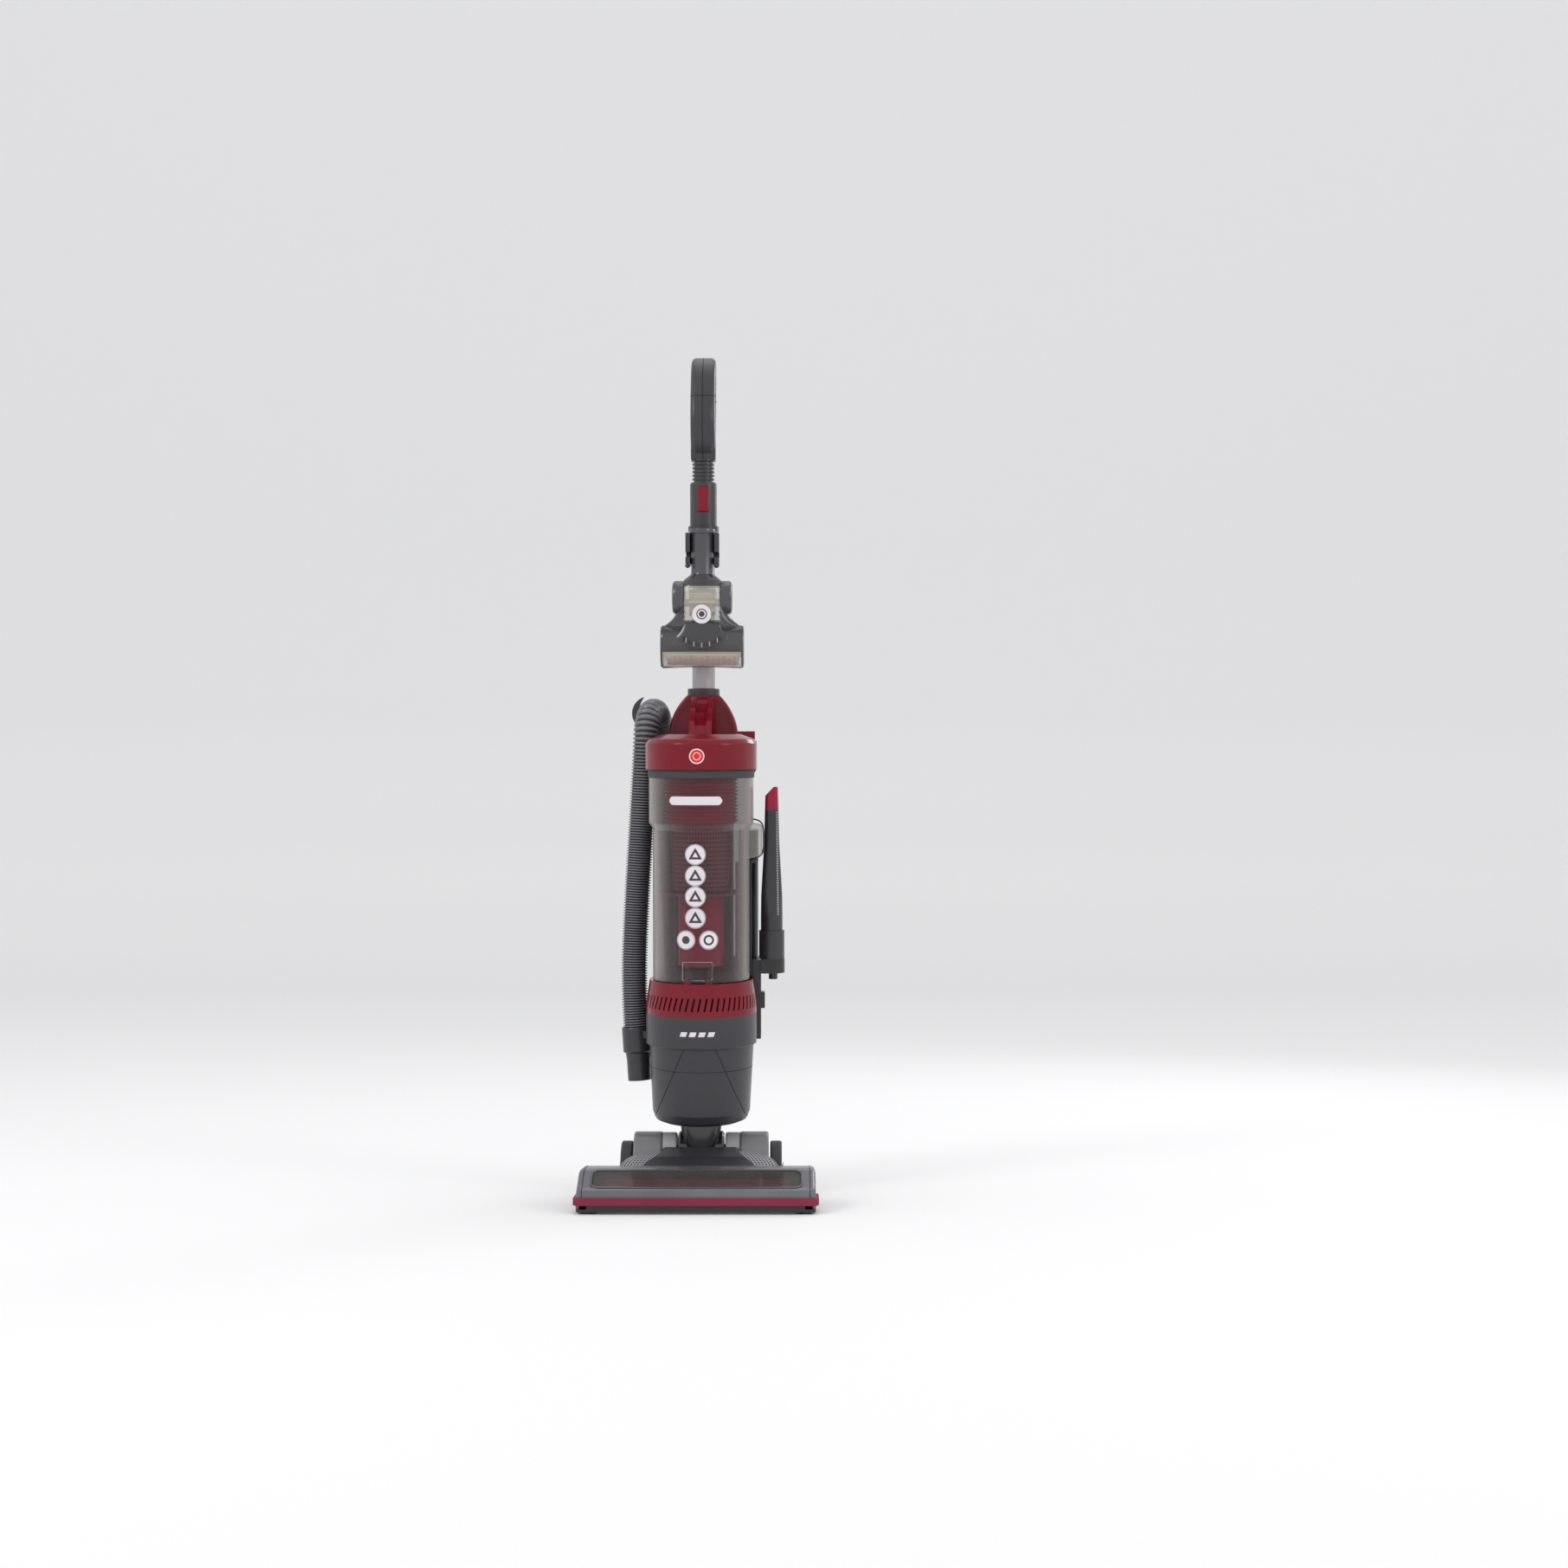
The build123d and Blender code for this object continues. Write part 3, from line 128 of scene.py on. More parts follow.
# ---- Moulded satin plastic: the housings are injection-moulded ABS with a fine spark-eroded grain
# and a touch of uneven tone and gloss from handling.
def satin(name, colour, roughness=0.42, grain=0.05, scale=900, specular=0.5, metallic=0.0):
    material = bpy.data.materials.new(name)
    material.use_nodes = True
    tree = material.node_tree
    shader = tree.nodes["Principled BSDF"]
    shader.inputs["Metallic"].default_value = metallic
    shader.inputs["Specular IOR Level"].default_value = specular
    place = tree.nodes.new("ShaderNodeTexCoord")
    cloud = tree.nodes.new("ShaderNodeTexNoise")
    cloud.inputs["Scale"].default_value = 14
    cloud.inputs["Detail"].default_value = 6
    tree.links.new(place.outputs["Object"], cloud.inputs["Vector"])
    tone = tree.nodes.new("ShaderNodeValToRGB")
    tone.color_ramp.elements[0].position = 0.3
    tone.color_ramp.elements[0].color = (*[channel * 0.86 for channel in colour], 1)
    tone.color_ramp.elements[1].position = 0.75
    tone.color_ramp.elements[1].color = (*[min(channel * 1.12, 1) for channel in colour], 1)
    tree.links.new(cloud.outputs["Fac"], tone.inputs["Fac"])
    tree.links.new(tone.outputs["Color"], shader.inputs["Base Color"])
    gloss = tree.nodes.new("ShaderNodeMapRange")
    gloss.inputs["To Min"].default_value = roughness - 0.06
    gloss.inputs["To Max"].default_value = roughness + 0.08
    tree.links.new(cloud.outputs["Fac"], gloss.inputs["Value"])
    tree.links.new(gloss.outputs["Result"], shader.inputs["Roughness"])
    speckle = tree.nodes.new("ShaderNodeTexNoise")
    speckle.inputs["Scale"].default_value = scale
    speckle.inputs["Detail"].default_value = 3
    tree.links.new(place.outputs["Object"], speckle.inputs["Vector"])
    bump = tree.nodes.new("ShaderNodeBump")
    bump.inputs["Strength"].default_value = grain
    bump.inputs["Distance"].default_value = 0.0004
    tree.links.new(speckle.outputs["Fac"], bump.inputs["Height"])
    tree.links.new(bump.outputs["Normal"], shader.inputs["Normal"])
    return material


def dress(material, *names):
    """The material goes on every slot of these nodes."""
    for name in names:
        node = nodes[name]
        if not node.material_slots:
            node.data.materials.append(material)
        for slot in node.material_slots:
            slot.material = material


graphite = satin("graphite_abs", (0.031, 0.030, 0.036), roughness=0.33, grain=0.08)
dress(graphite, "motor_bowl", "motor_band", "spine", "riser_duct", "hose_cradle", "hose_port",
      "power_button", "tower_collar", "handle_collar", "handle_left", "handle_right", "tool_saddle",
      "upper_cord_hook", "cord_hook_mounts", "crevice_tool", "hose_connector", "bonnet", "base_housing",
      "pet_covers")
silver_grey = satin("silver_grey_abs", (0.135, 0.133, 0.155), roughness=0.26, grain=0.04, metallic=0.45)
dress(silver_grey, "nozzle_cover", "recline_pedal")
mid_grey = satin("mid_grey_abs", (0.19, 0.188, 0.20), roughness=0.3, grain=0.05, metallic=0.2)
dress(mid_grey, "side_covers", "vent_panels")
pale_grey = satin("pale_grey_abs", (0.40, 0.40, 0.41), roughness=0.4, grain=0.08)
dress(pale_grey, "hub_bushes")
black = satin("black_abs", (0.014, 0.013, 0.015), roughness=0.28, grain=0.05)
dress(black, "tool_bracket", "sole_plate", "motor_fan")
tyre_rubber = satin("tyre_rubber", (0.035, 0.034, 0.038), roughness=0.6, grain=0.25, scale=500)
dress(tyre_rubber, "left_wheel", "right_wheel", "bin_gasket", "brush_belt")
felt = satin("sole_felt", (0.05, 0.05, 0.05), roughness=0.9, grain=0.6, scale=350)
dress(felt, "sole_glides", "exhaust_filter")
bare_steel = satin("bare_steel", (0.5, 0.5, 0.51), roughness=0.3, grain=0.05, metallic=1.0)
dress(bare_steel, "wheel_axles", "roll_bearings", "brush_motor", "motor_pulley", "main_motor", "pedal_spring")
neck_gloss = satin("neck_gloss", (0.018, 0.017, 0.020), roughness=0.16, grain=0.02, specular=0.8)
dress(neck_gloss, "neck")

# ---- Burgundy gloss: lid, tower, exhaust ring and trims are polished coloured ABS with a clear
# lacquer-like skin and the faint ripple of a moulded gloss surface.
def lacquer(name, colour, roughness=0.13):
    material = satin(name, colour, roughness=roughness + 0.04, grain=0.015, scale=60, specular=0.24)
    shader = material.node_tree.nodes["Principled BSDF"]
    shader.inputs["Coat Weight"].default_value = 0.22
    shader.inputs["Coat Roughness"].default_value = 0.05
    return material


burgundy = lacquer("burgundy_gloss", (0.175, 0.0015, 0.012))
dress(burgundy, "wand_tower", "bin_lid", "carry_handle", "exhaust_ring", "bin_release", "release_button")
soft_red = satin("bumper_red_tpe", (0.21, 0.014, 0.042), roughness=0.5, grain=0.08, specular=0.3)
dress(soft_red, "bumper_strip")
wine = satin("wine_red_abs", (0.32, 0.012, 0.045), roughness=0.35, grain=0.03, specular=0.3)
dress(wine, "separator", "brush_roll", "crevice_tip")

# ---- Smoked clear plastic: the bin, the brush window and the mini tool's shell are tinted see-through
# mouldings, clearer where they face the eye and denser towards their edges. Where a rim colour is given, the
# colour turns paler towards the edges as a painted reflection of the bright surroundings.
def smoked(name, colour, facing=0.28, edge=0.85, roughness=0.06, rim=None):
    material = bpy.data.materials.new(name)
    material.use_nodes = True
    tree = material.node_tree
    shader = tree.nodes["Principled BSDF"]
    shader.inputs["Roughness"].default_value = roughness
    shader.inputs["Specular IOR Level"].default_value = 0.6
    shader.inputs["IOR"].default_value = 1.5
    glance = tree.nodes.new("ShaderNodeLayerWeight")
    glance.inputs["Blend"].default_value = 0.5
    tint_and_edge_reflection = tree.nodes.new("ShaderNodeValToRGB")
    tint_and_edge_reflection.color_ramp.elements[0].position = 0.2
    tint_and_edge_reflection.color_ramp.elements[0].color = (*colour, 1)
    tint_and_edge_reflection.color_ramp.elements[1].position = 0.72
    # The rim colour, where given, is a painted reflection of the bright surroundings on the edges.
    tint_and_edge_reflection.color_ramp.elements[1].color = (*(rim or colour), 1)
    tree.links.new(glance.outputs["Facing"], tint_and_edge_reflection.inputs["Fac"])
    tree.links.new(tint_and_edge_reflection.outputs["Color"], shader.inputs["Base Color"])
    density = tree.nodes.new("ShaderNodeMapRange")
    density.inputs["To Min"].default_value = facing
    density.inputs["To Max"].default_value = edge
    tree.links.new(glance.outputs["Facing"], density.inputs["Value"])
    tree.links.new(density.outputs["Result"], shader.inputs["Alpha"])
    ripple = tree.nodes.new("ShaderNodeTexNoise")
    ripple.inputs["Scale"].default_value = 25
    place = tree.nodes.new("ShaderNodeTexCoord")
    tree.links.new(place.outputs["Object"], ripple.inputs["Vector"])
    bump = tree.nodes.new("ShaderNodeBump")
    bump.inputs["Strength"].default_value = 0.03
    bump.inputs["Distance"].default_value = 0.001
    tree.links.new(ripple.outputs["Fac"], bump.inputs["Height"])
    tree.links.new(bump.outputs["Normal"], shader.inputs["Normal"])
    material.surface_render_method = "BLENDED"
    return material


# The bin's and the brush window's paler rim colours are painted reflection at their edges.
smoke = smoked("smoked_clear", (0.085, 0.062, 0.064), facing=0.17, edge=0.84, rim=(0.36, 0.33, 0.31))
dress(smoke, "bin_shell", "bin_flap", "pet_body")
window_smoke = smoked("window_smoke", (0.05, 0.046, 0.043), facing=0.25, edge=0.6, rim=(0.12, 0.112, 0.105))
dress(window_smoke, "nozzle_window")
clear = smoked("clear_plastic", (0.5, 0.48, 0.47), facing=0.12, edge=0.5)
dress(clear, "pet_window")

# ---- Wand: a drawn aluminium tube with a pale grey metallic paint. It stands in the tower's collar
# and lifts out of it together with its handle.
wand_paint = satin("wand_paint", (0.42, 0.385, 0.405), roughness=0.32, grain=0.02, metallic=0.4)
dress(wand_paint, "wand_tube")

# ---- Stretch hose: a wire-wound corrugated PVC hose. Relaxed, its ribs nearly touch; over the cradle
# it is drawn out and the ribs stand apart. It runs from the parked connector to the port at the back.
hose_points = [
    (-92, 41, 165), (-96, 44, 225), (-92, 47, 330), (-86, 50, 430), (-81, 55, 520),
    (-77, 57, 602), (-63, 139, 602), (-56, 137, 490), (-49, 142, 370), (-42, 137, 262),
    (-42, 137, 192),
]


def curve_through(name, points, steps=12):
    """A smooth curve steered by points in the body's own frame, in millimetres."""
    line = bpy.data.curves.new(name, "CURVE")
    line.dimensions = "3D"
    line.resolution_u = steps
    spline = line.splines.new("NURBS")
    spline.points.add(len(points) - 1)
    for control, point in zip(spline.points, points):
        control.co = (*on_body(*point), 1)
    spline.order_u = 3
    spline.use_endpoint_u = True
    curve = bpy.data.objects.new(name, line)
    bpy.context.scene.collection.objects.link(curve)
    return curve


hose_route = curve_through("hose_route", hose_points, steps=48)
bare = bpy.data.meshes.new_from_object(hose_route)
trail = [vertex.co.copy() for vertex in bare.vertices]
bpy.data.objects.remove(hose_route)
stations = [0.0]
for near, far in zip(trail, trail[1:]):
    stations.append(stations[-1] + (far - near).length)
hose_length = stations[-1]


def along(distance):
    """Point and direction of the hose's line at a distance from its start."""
    index = 1
    while index < len(stations) - 1 and stations[index] < distance:
        index += 1
    span = stations[index] - stations[index - 1]
    share = (distance - stations[index - 1]) / span
    point = trail[index - 1].lerp(trail[index], share)
    before = trail[max(index - 2, 0)]
    after = trail[min(index + 1, len(trail) - 1)]
    return point, (after - before).normalized()


crest = max(range(len(trail)), key=lambda index: trail[index].z)
crest_station = stations[crest]
mesh = bpy.data.meshes.new("hose_skin")
shape = bmesh.new()
around = 40
RELAXED_PITCH, DRAWN_OUT, DRAWN_REACH = 0.0036, 0.0042, 0.085
RIB_PROFILE = ((0.0, 0.0152), (0.2, 0.0158), (0.34, 0.0179), (0.5, 0.0181), (0.66, 0.0179), (0.8, 0.0158))
rings = []
distance = 0.0
aside = Vector((1, 0, 0))
while distance < hose_length:
    stretch = math.exp(-((distance - crest_station) / DRAWN_REACH) ** 2)
    pitch = RELAXED_PITCH + DRAWN_OUT * stretch
    for share, radius in RIB_PROFILE:
        station = distance + share * pitch
        if station > hose_length:
            break
        centre, heading = along(station)
        aside = (aside - heading * aside.dot(heading)).normalized()
        across = heading.cross(aside)
        rings.append([
            shape.verts.new(
                centre + (aside * math.cos(turn) + across * math.sin(turn)) * radius
            )
            for turn in (2 * math.pi * step / around for step in range(around))
        ])
    distance += pitch
# Faces in each valley between two ribs take the near-black second material: painted shade in the grooves.
for place, (low, high) in enumerate(zip(rings, rings[1:])):
    for step in range(around):
        wall = shape.faces.new((low[step], low[(step + 1) % around], high[(step + 1) % around], high[step]))
        wall.material_index = int(place % len(RIB_PROFILE) in (0, len(RIB_PROFILE) - 1))
shape.faces.new(list(reversed(rings[0])))
shape.faces.new(rings[-1])
bmesh.ops.recalc_face_normals(shape, faces=shape.faces)
shape.to_mesh(mesh)
shape.free()
stretch_hose = bpy.data.objects.new("stretch_hose", mesh)
bpy.context.scene.collection.objects.link(stretch_hose)
for face in mesh.polygons:
    face.use_smooth = True
hose_pvc = satin("hose_pvc", (0.17, 0.168, 0.185), roughness=0.26, grain=0.04, metallic=0.2)
# Near-black painted shade for the grooves between the ribs.
hose_groove_shade = satin("hose_groove_shade", (0.02, 0.019, 0.022), roughness=0.5, grain=0.1)
mesh.materials.append(hose_pvc)
mesh.materials.append(hose_groove_shade)
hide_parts("hose")
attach(stretch_hose, "upright")


# ---- Inlet screen: the fine moulded mesh that air leaves the dust through. Its diamond holes are too
# small to model one by one, so the moulding's finish carries them, wrapped round the bin's axis, each
# painted near-black as the shade inside it.
def perforated(name, colour, holes_round=64, rows_per_metre=330):
    material = satin(name, colour, roughness=0.4, grain=0.02)
    tree = material.node_tree
    shader = tree.nodes["Principled BSDF"]
    place = tree.nodes.new("ShaderNodeTexCoord")
    upright = tree.nodes.new("ShaderNodeMapping")
    back = lean.inverted()
    upright.inputs["Rotation"].default_value = back.to_euler()
    upright.inputs["Location"].default_value = back.to_translation()
    tree.links.new(place.outputs["Object"], upright.inputs["Vector"])
    split = tree.nodes.new("ShaderNodeSeparateXYZ")
    tree.links.new(upright.outputs["Vector"], split.inputs["Vector"])

    def maths(kind, first, second):
        step = tree.nodes.new("ShaderNodeMath")
        step.operation = kind
        for socket, value in zip(step.inputs, (first, second)):
            if isinstance(value, (int, float)):
                socket.default_value = value
            elif value is not None:
                tree.links.new(value, socket)
        return step.outputs["Value"]

    turn = maths("MULTIPLY", maths("ARCTAN2", split.outputs["X"], split.outputs["Y"]), holes_round / 2)
    rise = maths("MULTIPLY", split.outputs["Z"], rows_per_metre * math.pi / 2)
    slant = maths("SINE", maths("ADD", turn, rise), None)
    counter = maths("SINE", maths("SUBTRACT", turn, rise), None)
    holes = maths("MULTIPLY", slant, counter)
    # The holes' near-black is painted shade inside the openings.
    dark = tree.nodes.new("ShaderNodeValToRGB")
    dark.color_ramp.elements[0].position = 0.5
    dark.color_ramp.elements[0].color = (*colour, 1)
    dark.color_ramp.elements[1].position = 0.72
    dark.color_ramp.elements[1].color = (0.012, 0.008, 0.009, 1)
    centred = maths("MULTIPLY_ADD", holes, 0.5)
    centred.node.inputs[2].default_value = 0.5
    tree.links.new(centred, dark.inputs["Fac"])
    tree.links.new(dark.outputs["Color"], shader.inputs["Base Color"])
    return material


screen_mesh = perforated("inlet_screen_mesh", (0.20, 0.035, 0.05))
dress(screen_mesh, "screen")


# ---- Stickers on the bin: printed vinyl discs and a plain name strip, pressed onto the curved wall.
# Each is cut flat and then bent round the wall, so that it follows the curve without lifting.
def alone(piece):
    """Makes the piece the only one selected, and the active one."""
    bpy.ops.object.select_all(action="DESELECT")
    piece.select_set(True)
    bpy.context.view_layer.objects.active = piece


def start(add, name, **settings):
    """A fresh primitive, alone in the selection, with its place already in its mesh."""
    bpy.ops.object.select_all(action="DESELECT")
    add(**settings)
    piece = bpy.context.object
    piece.name = name
    bpy.ops.object.transform_apply(location=True, rotation=True, scale=True)
    bpy.ops.object.mode_set(mode="EDIT")
    bpy.ops.mesh.select_mode(type="FACE")
    bpy.ops.object.mode_set(mode="OBJECT")
    return piece


def settle(piece, material, body, bevel=0.0, leaning=True):
    """Rounds the piece's edges, gives it its finish, leans it over with the body and fixes it there."""
    alone(piece)
    if bevel:
        rounding = piece.modifiers.new("rounding", "BEVEL")
        rounding.width = bevel
        rounding.segments = 3
        rounding.limit_method = "ANGLE"
        rounding.angle_limit = math.radians(40)
        bpy.ops.object.modifier_apply(modifier=rounding.name)
    bpy.ops.object.shade_smooth_by_angle(angle=math.radians(40))
    if leaning:
        piece.data.transform(lean)
    if material:
        piece.data.materials.clear()
        piece.data.materials.append(material)
    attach(piece, body)
    return piece


def bend_round(piece, radius):
    """Wraps a flat piece, drawn in X and Z and raised towards -Y, round the body's axis."""
    for vertex in piece.data.vertices:
        angle = vertex.co.x / radius
        reach = radius - vertex.co.y
        vertex.co = Vector((reach * math.sin(angle), -reach * math.cos(angle), vertex.co.z))


def pick_face(piece, face):
    """Leaves only this face selected, for the edit that follows."""
    for other in piece.data.polygons:
        other.select = other == face


BIN_WALL, BIN_COLLAR = 0.0662, 0.0717
STICKER_X = -0.0055
vinyl_white = satin("vinyl_white", (0.72, 0.68, 0.72), roughness=0.35, grain=0.02)
vinyl_ink = satin("vinyl_ink", (0.045, 0.038, 0.045), roughness=0.35, grain=0.02)


def disc_sticker(name, x, z, size, dark_bands, radius=BIN_WALL, ink=vinyl_ink):
    """A round sticker with printed rings, each band given as shares of its radius."""
    disc = start(bpy.ops.mesh.primitive_cylinder_add, name, vertices=64, radius=size / 2, depth=0.0004,
                 location=(x, -0.0002, z), rotation=(math.radians(90), 0, 0))
    disc.data.materials.append(vinyl_white)
    disc.data.materials.append(ink)
    pick_face(disc, min(disc.data.polygons, key=lambda face: face.center.y))
    bpy.ops.object.mode_set(mode="EDIT")
    reach = 1.0
    for share in sorted({share for band in dark_bands for share in band if share}, reverse=True):
        bpy.ops.mesh.inset(thickness=(reach - share) * size / 2, use_even_offset=False)
        reach = share
    bpy.ops.mesh.poke()
    bpy.ops.object.mode_set(mode="OBJECT")
    for face in disc.data.polygons:
        away = math.hypot(face.center.x - x, face.center.z - z) / (size / 2)
        printed = face.center.y < -0.00039 and any(low < away < high for low, high in dark_bands)
        face.material_index = int(printed)
    if radius:
        bend_round(disc, radius)
    return disc


for number, height in enumerate((0.4100, 0.3815, 0.3535, 0.3250)):
    ring_sticker = disc_sticker(f"ring_sticker_{number + 1}", STICKER_X, height, 0.0278, ((0.92, 0.96),))
    settle(ring_sticker, None, "bin")
    peak = start(bpy.ops.mesh.primitive_cylinder_add, f"sticker_peak_{number + 1}", vertices=3, radius=0.0104,
                 depth=0.0003, location=(STICKER_X, -0.0005, height - 0.0012),
                 rotation=(math.radians(90), 0, 0))
    peak.data.materials.append(vinyl_ink)
    peak.data.materials.append(vinyl_white)
    pick_face(peak, min(peak.data.polygons, key=lambda face: face.center.y))
    bpy.ops.object.mode_set(mode="EDIT")
    bpy.ops.mesh.inset(thickness=0.0030, use_even_offset=True)
    bpy.context.object.active_material_index = 1
    bpy.ops.object.material_slot_assign()
    bpy.ops.mesh.select_all(action="SELECT")
    bpy.ops.mesh.quads_convert_to_tris()
    bpy.ops.mesh.subdivide(number_cuts=3)
    bpy.ops.object.mode_set(mode="OBJECT")
    bend_round(peak, BIN_WALL)
    settle(peak, None, "bin")
for number, (offset, bands) in enumerate(((-0.0185, ((0.90, 0.95), (0.0, 0.42))),
                                          (0.0125, ((0.90, 0.95), (0.34, 0.56))))):
    small_sticker = disc_sticker(f"small_sticker_{number + 1}", offset, 0.2955, 0.0254, bands)
    settle(small_sticker, None, "bin")

STRIP_Z, STRIP_STRAIGHT, STRIP_ROUNDING = 0.482, 0.0315, 0.0055
name_strip = start(bpy.ops.mesh.primitive_cube_add, "name_strip", size=1,
                   location=(STICKER_X, -0.0002, STRIP_Z), scale=(0.074, 0.0004, 0.0115))
bpy.ops.object.mode_set(mode="EDIT")
bpy.ops.mesh.subdivide(number_cuts=24)
bpy.ops.object.mode_set(mode="OBJECT")
for vertex in name_strip.data.vertices:
    past = max(abs(vertex.co.x - STICKER_X) - STRIP_STRAIGHT, 0.0) / STRIP_ROUNDING
    vertex.co.z = STRIP_Z + (vertex.co.z - STRIP_Z) * math.sqrt(max(1 - past ** 2, 0.03))
bend_round(name_strip, BIN_COLLAR)
settle(name_strip, vinyl_white, "bin")

# ---- Lid badge: a small enamelled disc with a pale ring, bent to the lid's curve and set into
# its front.
LID_WALL = 0.0762
enamel_red = lacquer("enamel_red", (0.72, 0.02, 0.015))
lid_badge = disc_sticker("lid_badge", -0.003, 0.5415, 0.0205, ((0.0, 0.42), (0.52, 0.84)), radius=LID_WALL,
                         ink=enamel_red)
settle(lid_badge, None, "bin")

# ---- Band mark: four slanted pale bars printed on the motor band, where such a machine has its label.
# Each follows the band's curve.
BAND_WALL, BAND_MARK_Z, BAR_SLANT = 0.0757, 0.170, 0.35
for number in range(4):
    bar = start(bpy.ops.mesh.primitive_cube_add, f"band_bar_{number + 1}", size=1,
                location=(-0.0215 + 0.0125 * number, -0.0002, BAND_MARK_Z), scale=(0.0085, 0.0004, 0.0062))
    bpy.ops.object.mode_set(mode="EDIT")
    bpy.ops.mesh.subdivide(number_cuts=6)
    bpy.ops.object.mode_set(mode="OBJECT")
    for vertex in bar.data.vertices:
        vertex.co.x += BAR_SLANT * (vertex.co.z - BAND_MARK_Z)
    bend_round(bar, BAND_WALL)
    settle(bar, vinyl_white, "upright")


# ---- Mini turbo tool: a small air-driven brush head, moulded in smoked polycarbonate. It has clear
# panes over the brush and the turbine, dark pods at the turbine's ends, and a toothed scoop behind.
def turn_outward():
    """Points every face of the active piece outward."""
    bpy.ops.object.mode_set(mode="EDIT")
    bpy.ops.mesh.select_all(action="SELECT")
    bpy.ops.mesh.normals_make_consistent(inside=False)
    bpy.ops.object.mode_set(mode="OBJECT")


def join_as(name, parts):
    """Joins the parts into one piece of that name."""
    alone(parts[0])
    for part in parts:
        part.select_set(True)
    bpy.ops.object.join()
    parts[0].name = name
    return parts[0]


def ring_stack(name, sections, around=64, sideways=False):
    """A closed skin through rings: height, half width, half depth, centre depth and squareness, in mm."""
    piece = start(bpy.ops.mesh.primitive_circle_add, name, vertices=around, radius=1,
                  location=(0, 0, sections[0][0]), fill_type="NGON")
    bpy.ops.object.mode_set(mode="EDIT")
    bpy.ops.mesh.select_all(action="SELECT")
    for low, high in zip(sections, sections[1:]):
        bpy.ops.mesh.extrude_region_move(TRANSFORM_OT_translate={"value": (0, 0, high[0] - low[0])})
    bpy.ops.object.mode_set(mode="OBJECT")
    for vertex in piece.data.vertices:
        height, wide, deep, centre, square = min(sections, key=lambda row: abs(row[0] - vertex.co.z))
        angle = math.atan2(vertex.co.y, vertex.co.x)
        cosine, sine = math.cos(angle), math.sin(angle)
        vertex.co.x = wide * math.copysign(abs(cosine) ** (2 / square), cosine)
        vertex.co.y = centre + deep * math.copysign(abs(sine) ** (2 / square), sine)
    if sideways:
        piece.data.transform(Matrix.Rotation(math.radians(90), 4, "Y"))
    piece.data.transform(Matrix.Scale(0.001, 4))
    turn_outward()
    return piece


MINI_Y = 51.5
BRUSH_Z, TURBINE_Z = 0.691, 0.759
mini_smoke = smoked("mini_tool_smoke", (0.035, 0.032, 0.037), facing=0.78, edge=0.97, roughness=0.12)
mini_clear = smoked("mini_tool_clear", (0.52, 0.49, 0.42), facing=0.42, edge=0.7, roughness=0.1)
mini_head = ring_stack("mini_head", [
    (-57.6, 25, 19, MINI_Y, 2.6), (-57.0, 28.4, 23, MINI_Y, 2.6), (-54, 30, 24.5, MINI_Y, 2.6),
    (-40, 29.4, 24.3, MINI_Y, 2.6), (-20, 28.5, 24, MINI_Y, 2.6), (0, 28.2, 24, MINI_Y, 2.6),
    (20, 28.5, 24, MINI_Y, 2.6), (40, 29.4, 24.3, MINI_Y, 2.6), (54, 30, 24.5, MINI_Y, 2.6),
    (57.0, 28.4, 23, MINI_Y, 2.6), (57.6, 25, 19, MINI_Y, 2.6),
], around=72, sideways=True)
mini_head.data.transform(Matrix.Translation((0, 0, BRUSH_Z)))
mini_shell = ring_stack("mini_shell", [
    (711, 56, 17, MINI_Y, 3.4), (718, 56, 19.5, MINI_Y, 3.2), (722, 50, 21.5, MINI_Y, 3.2),
    (727, 43.5, 23, 51, 3), (733, 38.5, 23.7, 50.5, 3), (740, 35.5, 24, 50.5, 3), (749, 34, 24, 50.5, 3),
    (758, 33, 24, 50.5, 3), (766, 32, 23.5, 50.5, 3), (774, 31, 22.5, 50.5, 2.8), (780, 28.5, 21, 51, 2.6),
    (785, 24, 19, 52, 2.3), (789, 19, 17.4, 53, 2), (791, 16.4, 16.4, 53, 2),
], around=80)
for shell, low, high, reach in ((mini_head, 0.6635, 0.6825, 0.050), (mini_shell, 0.7275, 0.7745, 0.0247)):
    shell.data.materials.append(mini_smoke)
    shell.data.materials.append(mini_clear)
    for face in shell.data.polygons:
        clear_pane = low < face.center.z < high and abs(face.center.x) < reach and abs(face.normal.y) > 0.3
        face.material_index = int(clear_pane)
    settle(shell, None, "pet_tool")
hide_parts("pet_body")
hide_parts("pet_window")

mini_grey = satin("mini_tool_grey", (0.06, 0.057, 0.066), roughness=0.22, grain=0.03, specular=0.6)
for hand, side_name in ((-1, "left"), (1, "right")):
    pod = ring_stack(f"mini_pod_{side_name}", [
        (24.5, 20.5, 20.5, 50.5, 2.2), (26, 22.8, 22.8, 50.5, 2.2), (31, 23.3, 23.3, 50.5, 2.2),
        (37, 23.2, 23.2, 50.5, 2.2), (40, 21.6, 21.6, 50.5, 2.2), (41.2, 18.5, 18.5, 50.5, 2.2),
        (41.4, 12, 12, 50.5, 2),
    ], around=56, sideways=True)
    pod.data.transform(Matrix.Diagonal((hand, 1, 1, 1)))
    if hand < 0:
        pod.data.flip_normals()
    pod.data.transform(Matrix.Translation((0, 0, TURBINE_Z)))
    settle(pod, mini_grey, "pet_tool")
mini_neck = ring_stack("mini_neck", [
    (786, 18.5, 17.5, 53, 2), (789.5, 16.4, 16.4, 53, 2), (795, 15.6, 15.6, 53, 2), (846, 15.6, 15.6, 53, 2),
    (848, 17.6, 17.6, 53, 2), (853.6, 17.6, 17.6, 53, 2),
], around=56)
settle(mini_neck, mini_grey, "pet_tool", bevel=0.0006)
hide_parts("pet_covers")

